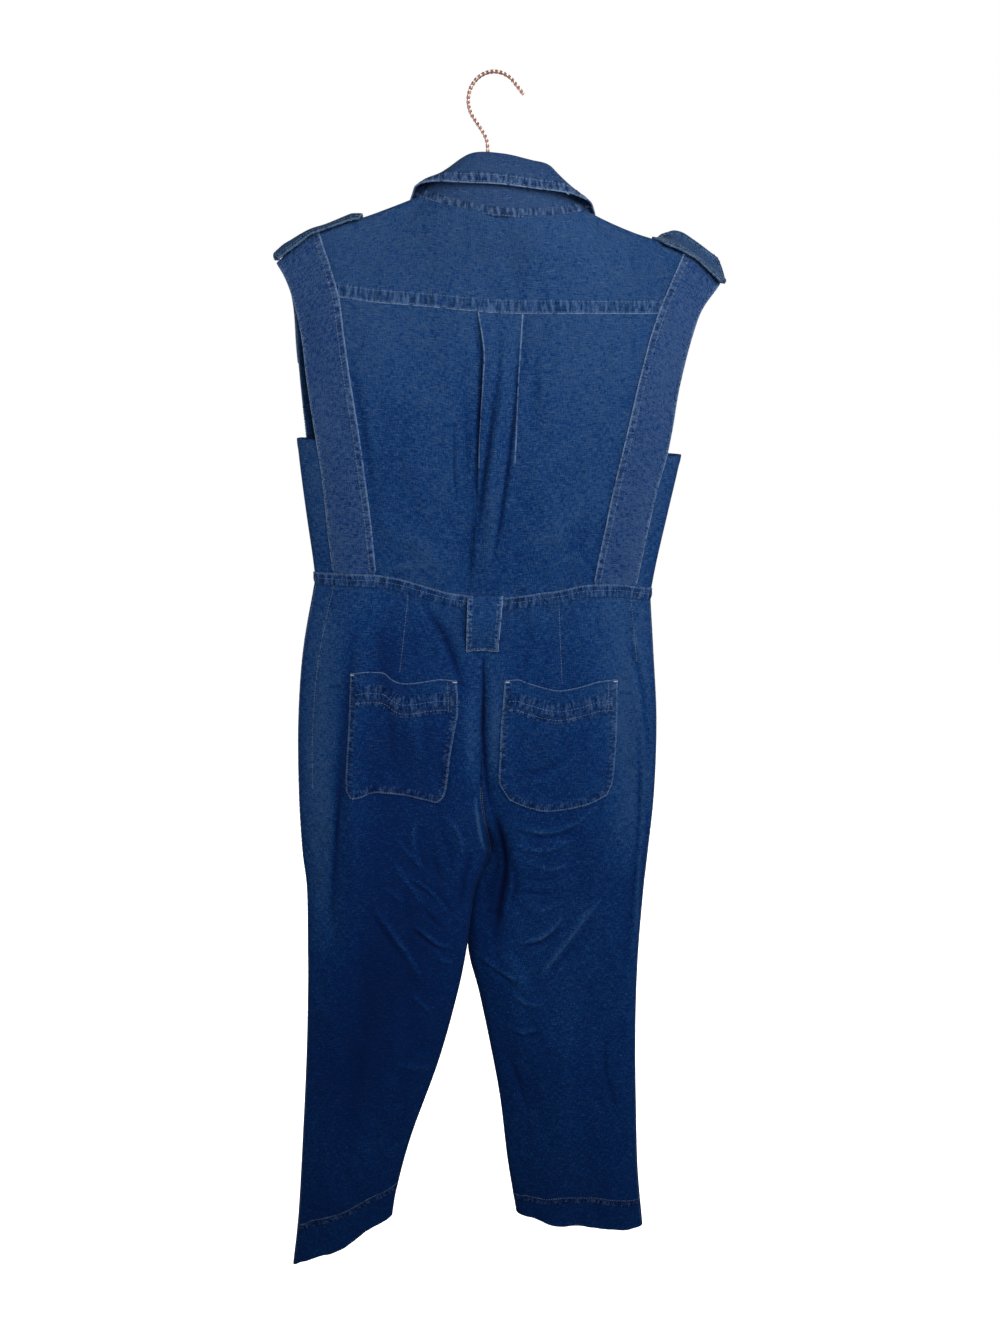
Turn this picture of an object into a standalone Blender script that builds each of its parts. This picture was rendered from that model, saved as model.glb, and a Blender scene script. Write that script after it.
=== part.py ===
"""A sleeveless denim jumpsuit on a slim hanger.

+Z is up, the garment's back faces -Y and the wearer's left is on the -X side.
The origin is the underside of the hook's crook, where a rail carries the hanger.
Tables and sizes are in millimetres; what makes a mesh or curve turns them into metres with MM.
"""

import math
from enum import Enum

import bmesh
import bpy
import numpy as np

MM = 0.001

# Cloth and seams
WALL = 1.2              # one layer of denim, with its seam turnings
COLLAR_WALL = 1.6       # the collar is a doubled layer
TAB_WALL = 2.4          # shoulder tabs and the belt loop are folded twice
SEAM_GAP = 0.4          # between pieces that are sewn edge to edge
WAIST_GAP = 0.8         # hidden under the band over the waist seam
RIDGE_START = 0.03      # the first row of a panel, below the shoulder ridge
LAYER = 2.0             # from a panel's face to the face of a piece that lies on it

# How the tube of cloth hangs
RIDGE_RADIUS = 8.0      # the shoulder line where it bends over the hanger
RIDGE_SPREAD = 120.0    # below the ridge, until the bodice has its full depth
SIDE_ROUND = 100.0      # from a side edge inwards, until the tube has its full depth

# Neck
NECK_X = 8.0            # centre back and centre front
NECK_HALF = 87.0
NECK_OUT = {"back": 31.0, "front": 28.0}
NECK_FADE = 60.0

# Laps under the armhole bands
BACK_LAP = 9.0
SIDE_LAP = 13.0

BAND_END = -515.0
BAND_SETTLE = 15.0      # below the ridge, until a band follows its table

# Where the pieces start on the shoulder ridge
BAND_TOP = {"left": (-182.0, -228.0), "right": (199.0, 238.0)}      # inner and outer edge
FRONT_TIP = {"left": -226.0, "right": 237.0}
YOKE_LOW = {"left": -210.0, "right": -227.0}                        # z of the yoke's lower corners

# Narrow stitched band over the waist seam
WAISTBAND_UP = 7.5
WAISTBAND_DOWN = 7.0

PLACKET_HALF = 15.0
PLACKET_END = -716.0
BUTTON_RADIUS = 7.0
BUTTON_THICK = 2.4
BUTTON_STAND = 0.8      # thread between a button and the placket
BUTTON_HEIGHTS = (-225.0, -293.0, -361.0, -429.0, -497.0, -586.0, -660.0)

LOOP_HALF = 20.0
LOOP_X = -9.0
LOOP_TOP = -532.0
LOOP_BOTTOM = -595.0
LOOP_STANDOFF = 5.5

# Hanger
WIRE_RADIUS = 1.9
CROOK_RADIUS = 26.0
CROOK_START = 215.8     # degrees, where the neck of the hook runs into the crook
CROOK_END = 41.0
TIP_LENGTH = 15.5
NECK_BEND = 25.0
NECK_STRAIGHT = 16.7
ARM_LEFT, ARM_RIGHT = -190.0, 186.0
ARM_HALF_THICK = 4.5
ARM_END_THICK = 3.0
ARM_CLEAR = 0.8
ARM_TOP_MIDDLE = -105.0
ARM_FALL_LEFT, ARM_FALL_RIGHT = 0.22, 0.30
ARM_HEIGHT_MIDDLE = 24.0
ARM_HEIGHT_END = 13.0
SOCKET_DEPTH = 13.0
SOCKET_CLEAR = 0.3

DENIM = (0.045, 0.11, 0.23)
DENIM_WORN = (0.07, 0.15, 0.29)


class Face(Enum):
    """The two faces of the hanging tube, with their side of the middle plane."""

    BACK = -1
    FRONT = 1


def ease(share):
    """0 to 1 with a soft start and end."""
    share = np.clip(share, 0.0, 1.0)
    return share * share * (3 - 2 * share)


def round_edge(distance, width):
    """0 at an edge and 1 from width inwards, along a quarter of an ellipse."""
    share = np.clip(distance / width, 0.0, 1.0)
    return np.sqrt(1 - (1 - share) ** 2)


class Table:
    """Rows of sizes under named columns, read between the rows on a smooth curve."""

    def __init__(self, columns, *rows):
        self.names = columns.split()
        data = np.array(rows, float)
        if data[0, 0] > data[-1, 0]:
            data = data[::-1]
        self.key = data[:, 0]
        self.values = data
        step = np.diff(self.key)[:, None]
        rise = np.diff(data, axis=0) / step
        inner = (rise[:-1] * step[1:] + rise[1:] * step[:-1]) / (step[1:] + step[:-1])
        self.slopes = np.vstack([rise[:1], inner, rise[-1:]])

    def __call__(self, name, at):
        at = np.asarray(at, float)
        column = self.names.index(name)
        low = np.clip(np.searchsorted(self.key, at) - 1, 0, len(self.key) - 2)
        step = self.key[low + 1] - self.key[low]
        share = (at - self.key[low]) / step
        t = np.clip(share, 0.0, 1.0)
        a, b = self.values[low, column], self.values[low + 1, column]
        slope_a, slope_b = self.slopes[low, column] * step, self.slopes[low + 1, column] * step
        smooth = (
            a * (2 * t**3 - 3 * t**2 + 1)
            + slope_a * (t**3 - 2 * t**2 + t)
            + b * (3 * t**2 - 2 * t**3)
            + slope_b * (t**3 - t**2)
        )
        beyond = share - t
        return smooth + beyond * np.where(beyond < 0, slope_a, slope_b)


SHOULDER = Table(
    "x z",
    (-227, -180), (-208, -163.5), (-184, -150.5), (-160, -142), (-136, -134.5),
    (-110, -125), (-86, -115.5), (-6, -84), (92, -124.5), (117, -136), (148, -148),
    (175, -157), (195, -166), (213, -177), (229, -189), (240, -202),
)
NECK_BACK = Table(
    "x z",
    (-79, -113), (-65, -117.5), (-45, -123.7), (-25, -127.5), (-6, -131), (14, -133),
    (33, -133.5), (52, -133), (72, -131), (88, -127.5), (95, -126),
)
NECK_FRONT = Table(
    "x z",
    (-79, -113), (-70, -140), (-55, -168), (-35, -190), (-12, -202), (8, -205),
    (28, -202), (52, -192), (72, -172), (87, -148), (95, -126),
)
BODICE = Table(
    "z left right back front",
    (-150, -239, 249, 15, 17),
    (-200, -225, 245, 19, 21),
    (-245, -221, 232, 22, 24),
    (-290, -220, 220.5, 25, 27),
    (-340, -219.5, 213, 27, 30),
    (-385, -217.5, 206, 28, 31),
    (-440, -213.5, 196, 26, 29),
    (-505, -208, 184.5, 23, 25),
    (-545, -206, 179, 22, 24),
)
BAND_LEFT = Table(
    "z inner outer",
    (-150, -182, -236), (-180, -172, -222), (-210, -163.5, -213), (-250, -158.5, -205),
    (-300, -152.7, -200.5), (-350, -146.3, -195), (-410, -140.6, -189),
    (-450, -137.2, -187.3), (-510, -134.2, -183.6), (-545, -133.5, -182),
)
BAND_RIGHT = Table(
    "z inner outer",
    (-165, 199, 250), (-200, 184, 235), (-223, 174.5, 220), (-250, 165.5, 210.5),
    (-300, 153.3, 199), (-350, 143.3, 192.5), (-380, 136.8, 187.5), (-410, 130.8, 180),
    (-450, 124, 173), (-525, 111.5, 160.5), (-545, 109, 157),
)
ARMHOLE_FRONT_LEFT = Table(
    "z x", (-150, -232), (-180, -222), (-207, -216), (-266, -214), (-318, -212.5), (-360, -210)
)
ARMHOLE_FRONT_RIGHT = Table(
    "z x", (-165, 240), (-200, 227), (-223, 211), (-250, 202), (-300, 190), (-350, 184), (-378, 180)
)
UNDERARM = {"left": -358.0, "right": -376.0}
CENTRE_FRONT = Table(
    "z x",
    (-110, 8), (-205, 8), (-320, 5.5), (-430, 0.5), (-541, -6), (-603, -12.6), (-690, -15.5),
    (-785, -16.5),
)
YOKE_SEAM = Table(
    "x z",
    (-175, -208.5), (-162, -210.4), (-124, -215.6), (-78, -219.2), (-31, -223.6),
    (6, -226.5), (62, -227), (118, -227), (185, -227),
)
WAIST_BACK = Table(
    "x z",
    (-210, -515.5), (-183, -514.5), (-133, -515.5), (-103, -521), (-73, -530), (-50, -536),
    (-31, -539), (6, -541.5), (53, -536), (75, -533), (101, -527), (111, -526.5),
    (146, -528), (175, -533), (185, -535),
)
WAIST_FRONT = Table(
    "x z", (-210, -515.5), (-150, -521), (-80, -531), (8, -539), (90, -538), (150, -535), (185, -535)
)
PLEAT = Table(
    "z left right height",
    (-227, -17.6, 31, 3.2), (-266, -11.8, 28.5, 3.6), (-300, -13.5, 26.3, 3.8),
    (-360, -17.3, 24.3, 4.2), (-420, -19, 21.4, 3.6), (-480, -23.5, 19.3, 2.2),
    (-541, -27, 18, 1.0),
)
LEG_LEFT = Table(
    "s outer_x outer_z inner_x inner_z back front back_seam front_seam inner_round middle",
    (0.0, -207, -515.5, -6, -541, 22.3, 24.3, 22.3, 24.3, 60, 0),
    (1.0, -226, -602, -12.6, -603, 30, 27, 26, 27, 45, 0),
    (2.0, -237, -690, -15.5, -690, 34, 28, 20, 28, 36, 0),
    (3.0, -242, -785, -16.5, -780, 34, 28, 13, 21, 32, 0),
    (4.0, -242.5, -866, -6.2, -866, 32, 28, 0, 0, 32, 0),
    (5.0, -240, -920, -25.3, -919, 31, 27, 0, 0, 40, -5),
    (6.0, -243.5, -1003, -36.6, -1003, 30, 27, 0, 0, 55, -5),
    (7.0, -247.5, -1075, -49.5, -1074, 29, 26, 0, 0, 75, -2),
    (8.0, -256, -1185, -76, -1181, 27, 25, 0, 0, 80, 0),
    (9.0, -269, -1320, -117, -1308, 25, 23, 0, 0, 75, 0),
    (10.0, -282.5, -1448, -139.5, -1398, 23, 21, 0, 0, 70, 0),
    (11.0, -295.6, -1538.5, -148, -1447, 22, 20, 0, 0, 70, 0),
)
LEG_RIGHT = Table(
    "s outer_x outer_z inner_x inner_z back front back_seam front_seam inner_round middle",
    (0.0, 180, -534, -6, -541, 22.3, 24.3, 22.3, 24.3, 60, 0),
    (1.0, 186.6, -602, -12.6, -603, 30, 27, 26, 27, 45, 0),
    (2.0, 194.5, -690, -15.5, -690, 34, 28, 20, 28, 36, 0),
    (3.0, 196, -785, -16.5, -780, 34, 28, 13, 21, 32, 0),
    (4.0, 192, -866, -6.2, -866, 32, 28, 0, 0, 36, 0),
    (5.0, 188.8, -920, -25.8, -919, 31, 27, 0, 0, 45, 5),
    (6.0, 186, -1003, -36.2, -1003, 30, 27, 0, 0, 55, 5),
    (7.0, 185.8, -1075, -22, -1075, 29, 26, 0, 0, 70, 2),
    (8.0, 188, -1160, -7.5, -1156, 28, 25, 0, 0, 80, 0),
    (9.0, 192.5, -1250, 6, -1245, 27, 24, 0, 0, 80, 0),
    (10.0, 199.5, -1365, 16.5, -1350, 24, 22, 0, 0, 75, 0),
    (11.0, 210.5, -1467, 28.9, -1440, 22, 20, 0, 0, 70, 0),
)
POCKET_LEFT = Table(
    "z left right",
    (-620, -166, -42.5), (-657, -168, -43), (-691, -171, -46.5), (-729, -175, -53.5),
    (-755, -177, -57), (-768, -176, -60), (-775, -169, -68),
)
POCKET_RIGHT = Table(
    "z left right",
    (-629, 11.6, 142), (-657, 10, 142.7), (-691, 7.5, 142.6), (-729, 6, 141.5),
    (-755, 7, 138.6), (-772, 14, 131), (-784, 25, 118), (-793, 47, 95),
)
COLLAR = Table(
    "angle top_x top_y top_z roll_x roll_y roll_z edge_x edge_y edge_z",
    (-180, 3, 28, -187, 0, 31.5, -185, -46, 30, -240),
    (-157.5, -22, 26, -174, -25, 30, -170, -74, 26, -217),
    (-135, -42, 20, -150, -44, 24, -146, -92, 22, -188),
    (-112.5, -57, 9, -122, -57, 10, -117, -94, 14, -146),
    (-101, -61, 4.5, -111, -60, 5, -105, -90, 10.5, -121),
    (-90, -64, 0, -101, -62, 0, -96, -85, 1, -110.5),
    (-67.5, -59, -11, -99, -57, -10, -93.5, -77, -19, -103.5),
    (-45, -48, -20, -99, -46, -18, -88, -59, -33, -101.5),
    (-22.5, -24, -28, -100, -22, -25, -76, -31, -40, -103.5),
    (0, 8, -30.5, -103, 8, -26, -74.5, 6, -43, -105),
    (22.5, 39, -28, -104, 36, -25, -78.5, 42, -41, -111.0),
    (45, 64, -21, -108, 62, -19, -91, 72, -35, -115.0),
    (67.5, 76, -11, -111, 74, -11, -103, 93, -21, -120.0),
    (90, 81, 0, -115, 79, 0, -110, 103, 1, -125),
    (101, 78, 4.5, -122, 77, 5, -117, 107.5, 10.5, -136),
    (112.5, 73, 9, -131, 73, 10, -126, 112, 14, -160),
    (135, 58, 20, -155, 60, 24, -151, 109, 22, -200),
    (157.5, 38, 26, -176, 41, 30, -172, 92, 26, -225),
    (180, 13, 28, -187, 16, 31.5, -185, 64, 30, -245),
)
TAB_LEFT = Table(
    "x centre_z near_drop far_drop",
    (-231, -167.5, 8.5, 1.5), (-211, -157.8, 7, 1.5), (-192, -148.4, 5, 1.5), (-174, -141.4, 3, 1.5),
    (-154, -133.4, 2, 1.5), (-138, -130.5, 1.5, 1.5),
)
TAB_RIGHT = Table(
    "x centre_z near_drop far_drop",
    (165, -150.6, 7, -6), (189, -154.4, 8.5, -8.5), (210, -166.4, 8.5, -7.5), (229, -179.4, 8, -6),
    (240, -188.4, 8, -5),
)
TAB_ENDS = {"left": (-138.0, -231.0), "right": (165.0, 240.0)}
TAB_HALF_WIDTH = 22.0
TAB_POINT = 20.0        # length of the pointed inner end

# Large folds: a row's depth raises the cloth, or sinks it where it is negative.
FOLDS = {
    "leg_back_left": (
        Table("z x width depth", (-535, -150, 14, 0), (-600, -158, 16, 3.5), (-700, -165, 18, 4.5),
              (-850, -176, 20, 5), (-1000, -192, 22, 5), (-1200, -215, 24, 3.5), (-1420, -240, 24, 1.5)),
        Table("z x width depth", (-600, -60, 26, 0), (-680, -52, 26, 3), (-780, -45, 24, 5),
              (-860, -52, 24, 3), (-930, -60, 26, 0)),
    ),
    "leg_back_right": (
        Table("z x width depth", (-640, -4, 8, 0), (-730, -8, 8, -3), (-770, -1, 9, -6), (-826, 4, 10, -11),
              (-883, -4, 18, -14), (-925, -6, 18, -12), (-985, -14, 16, -4), (-1020, -16, 16, 0)),
        Table("z x width depth", (-560, 150, 12, 0), (-640, 152, 14, -3), (-760, 160, 16, -4),
              (-900, 158, 18, -2.5), (-1000, 156, 20, 0)),
    ),
    "leg_front_left": (
        Table("z x width depth", (-560, -140, 18, 0), (-700, -150, 20, 4), (-1000, -170, 24, 4),
              (-1300, -205, 24, 2), (-1450, -225, 24, 1)),
    ),
    "leg_front_right": (
        Table("z x width depth", (-580, 120, 18, 0), (-720, 118, 20, 4), (-1000, 110, 24, 4),
              (-1300, 115, 24, 2), (-1420, 120, 24, 1)),
    ),
}


def fold_lift(name, x, z):
    """How far the large folds of a panel move its face outwards at x, z."""
    lift = np.zeros(np.broadcast(x, z).shape)
    for fold in FOLDS.get(name, ()):
        inside = (z <= fold.key[-1]) & (z >= fold.key[0])
        across = (x - fold("x", z)) / fold("width", z)
        lift = lift + np.where(inside, fold("depth", z) * np.exp(-(across**2)), 0.0)
    return lift


def pleat_lift(x, z):
    """The box pleat down the centre back stands out over its two folded underlayers."""
    left, right = PLEAT("left", z), PLEAT("right", z)
    soft = 1.2 + 9.0 * ease((-z - 380) / 160)
    rise = ease((x - left) / soft + 0.5) * ease((right - x) / soft + 0.5)
    return PLEAT("height", z) * rise


def bodice_depth(face, x, z):
    """Distance of the bodice's face from the middle plane."""
    side = face.name.lower()
    full = BODICE(side, z)
    below = SHOULDER("z", x) - z
    depth = RIDGE_RADIUS * round_edge(below, RIDGE_RADIUS)
    depth = depth + (full - RIDGE_RADIUS) * ease((below - RIDGE_RADIUS) / RIDGE_SPREAD)
    edge = np.minimum(x - BODICE("left", z), BODICE("right", z) - x)
    depth = depth * round_edge(edge, SIDE_ROUND)
    across = np.clip((x - NECK_X) / NECK_HALF, -1.0, 1.0)
    wanted = NECK_OUT[side] * np.sqrt(1 - across**2)
    neck = NECK_BACK if face is Face.BACK else NECK_FRONT
    fall = np.maximum(neck("z", NECK_X + NECK_HALF * across) - z, 0.0) / NECK_FADE
    depth = depth + np.maximum(wanted - depth, 0.0) * np.exp(-(fall**2))
    if face is Face.BACK:
        depth = depth + np.where(z < YOKE_SEAM("z", x), pleat_lift(x, z), 0.0)
    return depth


def bodice_point(face, x, z):
    """A point on the bodice's face, as x, y, z along the last axis."""
    x, z = np.broadcast_arrays(x, z)
    return np.stack([x, face.value * bodice_depth(face, x, z), z], axis=-1)


def leg_point(leg, face, side, q, s):
    """A point on a leg panel: q runs from -1 at the side seam to 1 at the inner seam."""
    part = face.name.lower()
    across = (1 + np.sin(math.pi / 2 * q)) / 2
    outer_x, inner_x = leg("outer_x", s), leg("inner_x", s)
    x = outer_x + (inner_x - outer_x) * across
    level = leg("outer_z", s) + (leg("inner_z", s) - leg("outer_z", s)) * across
    first = leg("outer_z", 0.0) + (leg("inner_z", 0.0) - leg("outer_z", 0.0)) * across
    waist = WAIST_BACK if face is Face.BACK else WAIST_FRONT
    z = level + (waist("z", x) - first) * (1 - ease(s))
    width = np.abs(inner_x - outer_x)
    full, seam = leg(part, s), np.maximum(leg(part + "_seam", s), 0.0)
    depth = seam + (full - seam) * round_edge((1 - across) * width, leg("inner_round", s))
    depth = depth * round_edge(across * width, SIDE_ROUND)
    hold = round_edge(across * width, 30.0) * round_edge((1 - across) * width, 14.0)
    depth = depth + fold_lift(f"leg_{part}_{side}", x, z) * hold
    middle = leg("middle", s) * across**2
    return np.stack([x, middle + face.value * depth, z], axis=-1)


def leg_station(leg, face, side, x, z):
    """The q and s of the leg panel's point at x, z, found by halving."""
    low, high = np.zeros_like(x), np.full_like(x, leg.key[-1])
    for _ in range(40):
        s = (low + high) / 2
        outer_x, inner_x = leg("outer_x", s), leg("inner_x", s)
        across = np.clip((x - outer_x) / (inner_x - outer_x), 0.0, 1.0)
        q = 2 / math.pi * np.arcsin(2 * across - 1)
        above = leg_point(leg, face, side, q, s)[..., 2] > z
        low, high = np.where(above, s, low), np.where(above, high, s)
    return q, s


# ---------------------------------------------------------------- meshes

def material(name, colour, roughness, metallic=0.0):
    """A plain Principled material."""
    made = bpy.data.materials.new(name)
    made.use_nodes = True
    shader = made.node_tree.nodes["Principled BSDF"]
    shader.inputs["Base Color"].default_value = (*colour, 1.0)
    shader.inputs["Roughness"].default_value = roughness
    shader.inputs["Metallic"].default_value = metallic
    return made


def link(name, mesh, collection, look):
    """A named object for a mesh or curve, in the jumpsuit's collection."""
    made = bpy.data.objects.new(name, mesh)
    mesh.materials.append(look)
    collection.objects.link(made)
    return made


def normals(place, us, vs, span):
    """Unit normals of a surface from small steps along u and v, kept inside its span."""
    step = 1e-3
    (u_low, u_high), (v_low, v_high) = span
    along_u = place(np.clip(us + step, u_low, u_high), vs) - place(np.clip(us - step, u_low, u_high), vs)
    along_v = place(us, np.clip(vs + step, v_low, v_high)) - place(us, np.clip(vs - step, v_low, v_high))
    out = np.cross(along_u, along_v)
    return out / np.maximum(np.linalg.norm(out, axis=-1, keepdims=True), 1e-12)


def cloth(name, place, u_values, v_values, collection, look, lift=0.0, wall=WALL, outward=False,
          keep=None):
    """A cloth piece: an open grid on its surface, moved out by lift, with Solidify for its wall.

    outward says that u cross v already points out of the garment. keep(u, v) says which cells
    of the grid, by their middles, belong to the piece.
    """
    us, vs = np.meshgrid(np.asarray(u_values, float), np.asarray(v_values, float), indexing="ij")
    span = ((us.min(), us.max()), (vs.min(), vs.max()))
    sign = 1.0 if outward else -1.0
    points = place(us, vs) + sign * normals(place, us, vs, span) * lift
    mesh = bmesh.new()
    grid = [[mesh.verts.new(point * MM) for point in row] for row in points]
    for i in range(us.shape[0] - 1):
        for j in range(us.shape[1] - 1):
            if keep and not keep((us[i, j] + us[i + 1, j]) / 2, (vs[i, j] + vs[i, j + 1]) / 2):
                continue
            corners = [grid[i][j], grid[i + 1][j], grid[i + 1][j + 1], grid[i][j + 1]]
            mesh.faces.new(corners if outward else corners[::-1])
    bmesh.ops.delete(mesh, geom=[v for v in mesh.verts if not v.link_faces], context="VERTS")
    data = bpy.data.meshes.new(name)
    mesh.to_mesh(data)
    mesh.free()
    data.shade_smooth()
    made = link(name, data, collection, look)
    solid = made.modifiers.new("wall", "SOLIDIFY")
    solid.thickness = wall * MM
    solid.offset = -1.0
    solid.use_rim = True
    return made


def spaced(low, high, count):
    """count + 1 even values from low to high."""
    return np.linspace(low, high, count + 1)


# ---------------------------------------------------------------- bodice

def band_edge(side, z, edge):
    """x of an armhole band's inner or outer edge at a height."""
    return (BAND_LEFT if side == "left" else BAND_RIGHT)(edge, z)


PLEAT_LEFT_U, PLEAT_RIGHT_U = 0.4152, 0.582
PLEAT_FOLD_U = 0.012


def across_back(u, left, right, z):
    """x at a height: evenly spread from left to right, with columns kept to the pleat's folds."""
    folds = PLEAT("left", z), PLEAT("right", z)
    knots = (
        (0.0, left), (PLEAT_LEFT_U, folds[0] - 2), (PLEAT_LEFT_U + PLEAT_FOLD_U, folds[0] + 2),
        (PLEAT_RIGHT_U - PLEAT_FOLD_U, folds[1] - 2), (PLEAT_RIGHT_U, folds[1] + 2), (1.0, right),
    )
    x = np.zeros(np.broadcast(u, z).shape)
    for (start, here), (stop, there) in zip(knots, knots[1:]):
        inside = (u >= start) & (u <= stop)
        x = np.where(inside, here + (there - here) * (u - start) / (stop - start), x)
    return x


def yoke_place(u, v):
    """The yoke: u from the left band to the right one, v from shoulder or neck to its seam."""
    left_top, right_top = BAND_TOP["left"][0] - BACK_LAP, BAND_TOP["right"][0] + BACK_LAP
    left_low = band_edge("left", YOKE_LOW["left"], "inner") - BACK_LAP
    right_low = band_edge("right", YOKE_LOW["right"], "inner") + BACK_LAP
    top_x = left_top + (right_top - left_top) * u
    low_x = across_back(u, left_low, right_low, np.full_like(u, YOKE_LOW["right"]))
    in_neck = np.abs(top_x - NECK_X) < NECK_HALF
    top_z = np.where(in_neck, NECK_BACK("z", top_x), SHOULDER("z", top_x) - RIDGE_START)
    low_z = YOKE_SEAM("z", low_x) + SEAM_GAP
    share = 1 - np.cos(math.pi / 2 * v)
    x = top_x + (low_x - top_x) * share
    z = top_z + (low_z - top_z) * share
    return bodice_point(Face.BACK, x, z)


def back_place(u, v):
    """The back bodice under the yoke: u from band to band, v from the yoke seam to the waist."""
    z = YOKE_LOW["left"] + (LOOP_TOP - YOKE_LOW["left"]) * v
    for _ in range(4):
        left = band_edge("left", z, "inner") - BACK_LAP
        right = band_edge("right", z, "inner") + BACK_LAP
        x = across_back(u, left, right, np.minimum(z, YOKE_LOW["right"]))
        top, low = YOKE_SEAM("z", x) - SEAM_GAP / 2, WAIST_BACK("z", x) + WAIST_GAP
        z = top + (low - top) * v
    return bodice_point(Face.BACK, x, z)


def band_place(side):
    """An armhole band, from its inner edge to its outer one, and from the shoulder to the waist."""
    inner_top, outer_top = BAND_TOP[side]

    def place(u, v):
        start = inner_top + (outer_top - inner_top) * u
        low_x = band_edge(side, BAND_END, "inner") * (1 - u) + band_edge(side, BAND_END, "outer") * u
        top = SHOULDER("z", start) - RIDGE_START
        low = WAIST_BACK("z", low_x) + WAISTBAND_UP + SEAM_GAP
        z = top + (low - top) * (1 - np.cos(math.pi / 2 * v))
        shift = start - (band_edge(side, top, "inner") * (1 - u) + band_edge(side, top, "outer") * u)
        x = band_edge(side, z, "inner") * (1 - u) + band_edge(side, z, "outer") * u
        return bodice_point(Face.BACK, x + shift * np.exp(-((top - z) / BAND_SETTLE)), z)

    return place


def front_place(side):
    """A front: u 0 to 1 from centre front to the armhole, 1 to 2 on round the side fold.

    v 0 to 1 runs from neck and shoulder to the underarm, 1 to 2 on to the waist.
    """
    sign = -1.0 if side == "left" else 1.0
    neck_x = NECK_X + sign * NECK_HALF
    tip_x = FRONT_TIP[side]
    armhole = ARMHOLE_FRONT_LEFT if side == "left" else ARMHOLE_FRONT_RIGHT
    under = UNDERARM[side]
    neck_share = 0.42

    def side_x(z):
        return BODICE(side, z)

    def centre(z):
        return CENTRE_FRONT("x", z) + sign * SEAM_GAP / 2

    def turned(x, z):
        """Angle share q of x on the way from centre front, 0, to the side fold, 1."""
        share = (x - centre(z)) / (side_x(z) - centre(z))
        return 2 / math.pi * np.arcsin(np.clip(share, -1.0, 1.0))

    def upper(u, v):
        along_neck = np.clip(u / neck_share, 0.0, 1.0)
        along_shoulder = np.clip((u - neck_share) / (1 - neck_share), 0.0, 1.0)
        top_x = np.where(
            u < neck_share,
            centre(-205.0) + (neck_x - centre(-205.0)) * np.sin(math.pi / 2 * along_neck),
            neck_x + (tip_x - neck_x) * along_shoulder,
        )
        top_z = np.where(u < neck_share, NECK_FRONT("z", top_x), SHOULDER("z", top_x) - RIDGE_START)
        low_q = turned(armhole("x", under), under) * u
        low_x = centre(under) + (side_x(under) - centre(under)) * np.sin(math.pi / 2 * low_q)
        share = 1 - np.cos(math.pi / 2 * np.clip(v, 0.0, 1.0))
        x = top_x + (low_x - top_x) * share
        z = top_z + (under - top_z) * share
        straight = x
        at_side = np.clip(u, 0.0, 1.0) ** 6 * ease(share / 0.03)
        x = x + at_side * (armhole("x", z) - straight)
        x = x + np.clip(1 - 10 * u, 0.0, 1.0) * (centre(z) - straight)
        return x, np.minimum(z, SHOULDER("z", x) - RIDGE_START)

    def place(u, v):
        up_x, up_z = upper(np.clip(u, 0.0, 1.0), v)
        down = np.clip(v - 1, 0.0, 1.0)
        z = under + (WAIST_FRONT("z", up_x) - under) * down
        for _ in range(3):
            q_arm = turned(armhole("x", under), under)
            edge = band_edge(side, z, "outer") - sign * SIDE_LAP
            q_end = 2 - turned(edge, z)
            q = np.where(u < 1, q_arm * u, q_arm + (q_end - q_arm) * (u - 1))
            x = centre(z) + (side_x(z) - centre(z)) * np.sin(math.pi / 2 * q)
            waist = np.where(q < 1, WAIST_FRONT("z", x), WAIST_BACK("z", x)) + WAIST_GAP
            z = under + (waist - under) * down
        on_back = q > 1
        low = np.where(
            on_back[..., None], bodice_point(Face.BACK, x, z), bodice_point(Face.FRONT, x, z)
        )
        high = bodice_point(Face.FRONT, up_x, up_z)
        return np.where((v < 1)[..., None], high, low)

    return place


BACK_COLUMNS = (
    0.0, 0.07, 0.14, 0.21, 0.2807, 0.297, 0.3446, 0.4152, 0.4272, 0.4987, 0.570, 0.582, 0.653, 0.700,
    0.7168, 0.79, 0.86, 0.93, 1.0,
)
YOKE_ONLY = (0.07, 0.21, 0.297, 0.700, 0.79, 0.93)
YOKE_ROWS = (0.0, 0.10, 0.18, 0.28, 0.42, 0.60, 0.80, 1.0)
BAND_ROWS = (0.0, 0.048, 0.086, 0.132, 0.2, 0.28, 0.36, 0.44, 0.53, 0.63, 0.74, 0.86, 1.0)
FRONT_COLUMNS = (
    0.0, 0.105, 0.21, 0.315, 0.42, 0.51, 0.60, 0.69, 0.78, 0.86, 0.93, 1.0, 1.14, 1.23, 1.32, 1.41,
    1.5, 1.65, 1.81, 2.0,
)
FRONT_ROWS = (0.0, 0.06, 0.11, 0.17, 0.27, 0.42, 0.6, 0.8, 1.0, 1.25, 1.5, 1.75, 2.0)


def make_bodice(collection, denim, worn):
    """Yoke, back, armhole bands and the two fronts."""
    cloth("back_yoke", yoke_place, BACK_COLUMNS, YOKE_ROWS, collection, denim)
    plain = [u for u in BACK_COLUMNS if u not in YOKE_ONLY]
    cloth("back_bodice", back_place, plain, spaced(0.0, 1.0, 9), collection, denim)
    for side in ("left", "right"):
        cloth(f"armhole_band_{side}", band_place(side), spaced(0.0, 1.0, 4), BAND_ROWS, collection,
              worn, lift=LAYER, outward=side == "left")
        cloth(f"front_{side}", front_place(side), FRONT_COLUMNS, FRONT_ROWS, collection, denim,
              outward=side == "right", keep=lambda u, v: u < 1 or v > 1)


# ---------------------------------------------------------------- waist and legs

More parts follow.
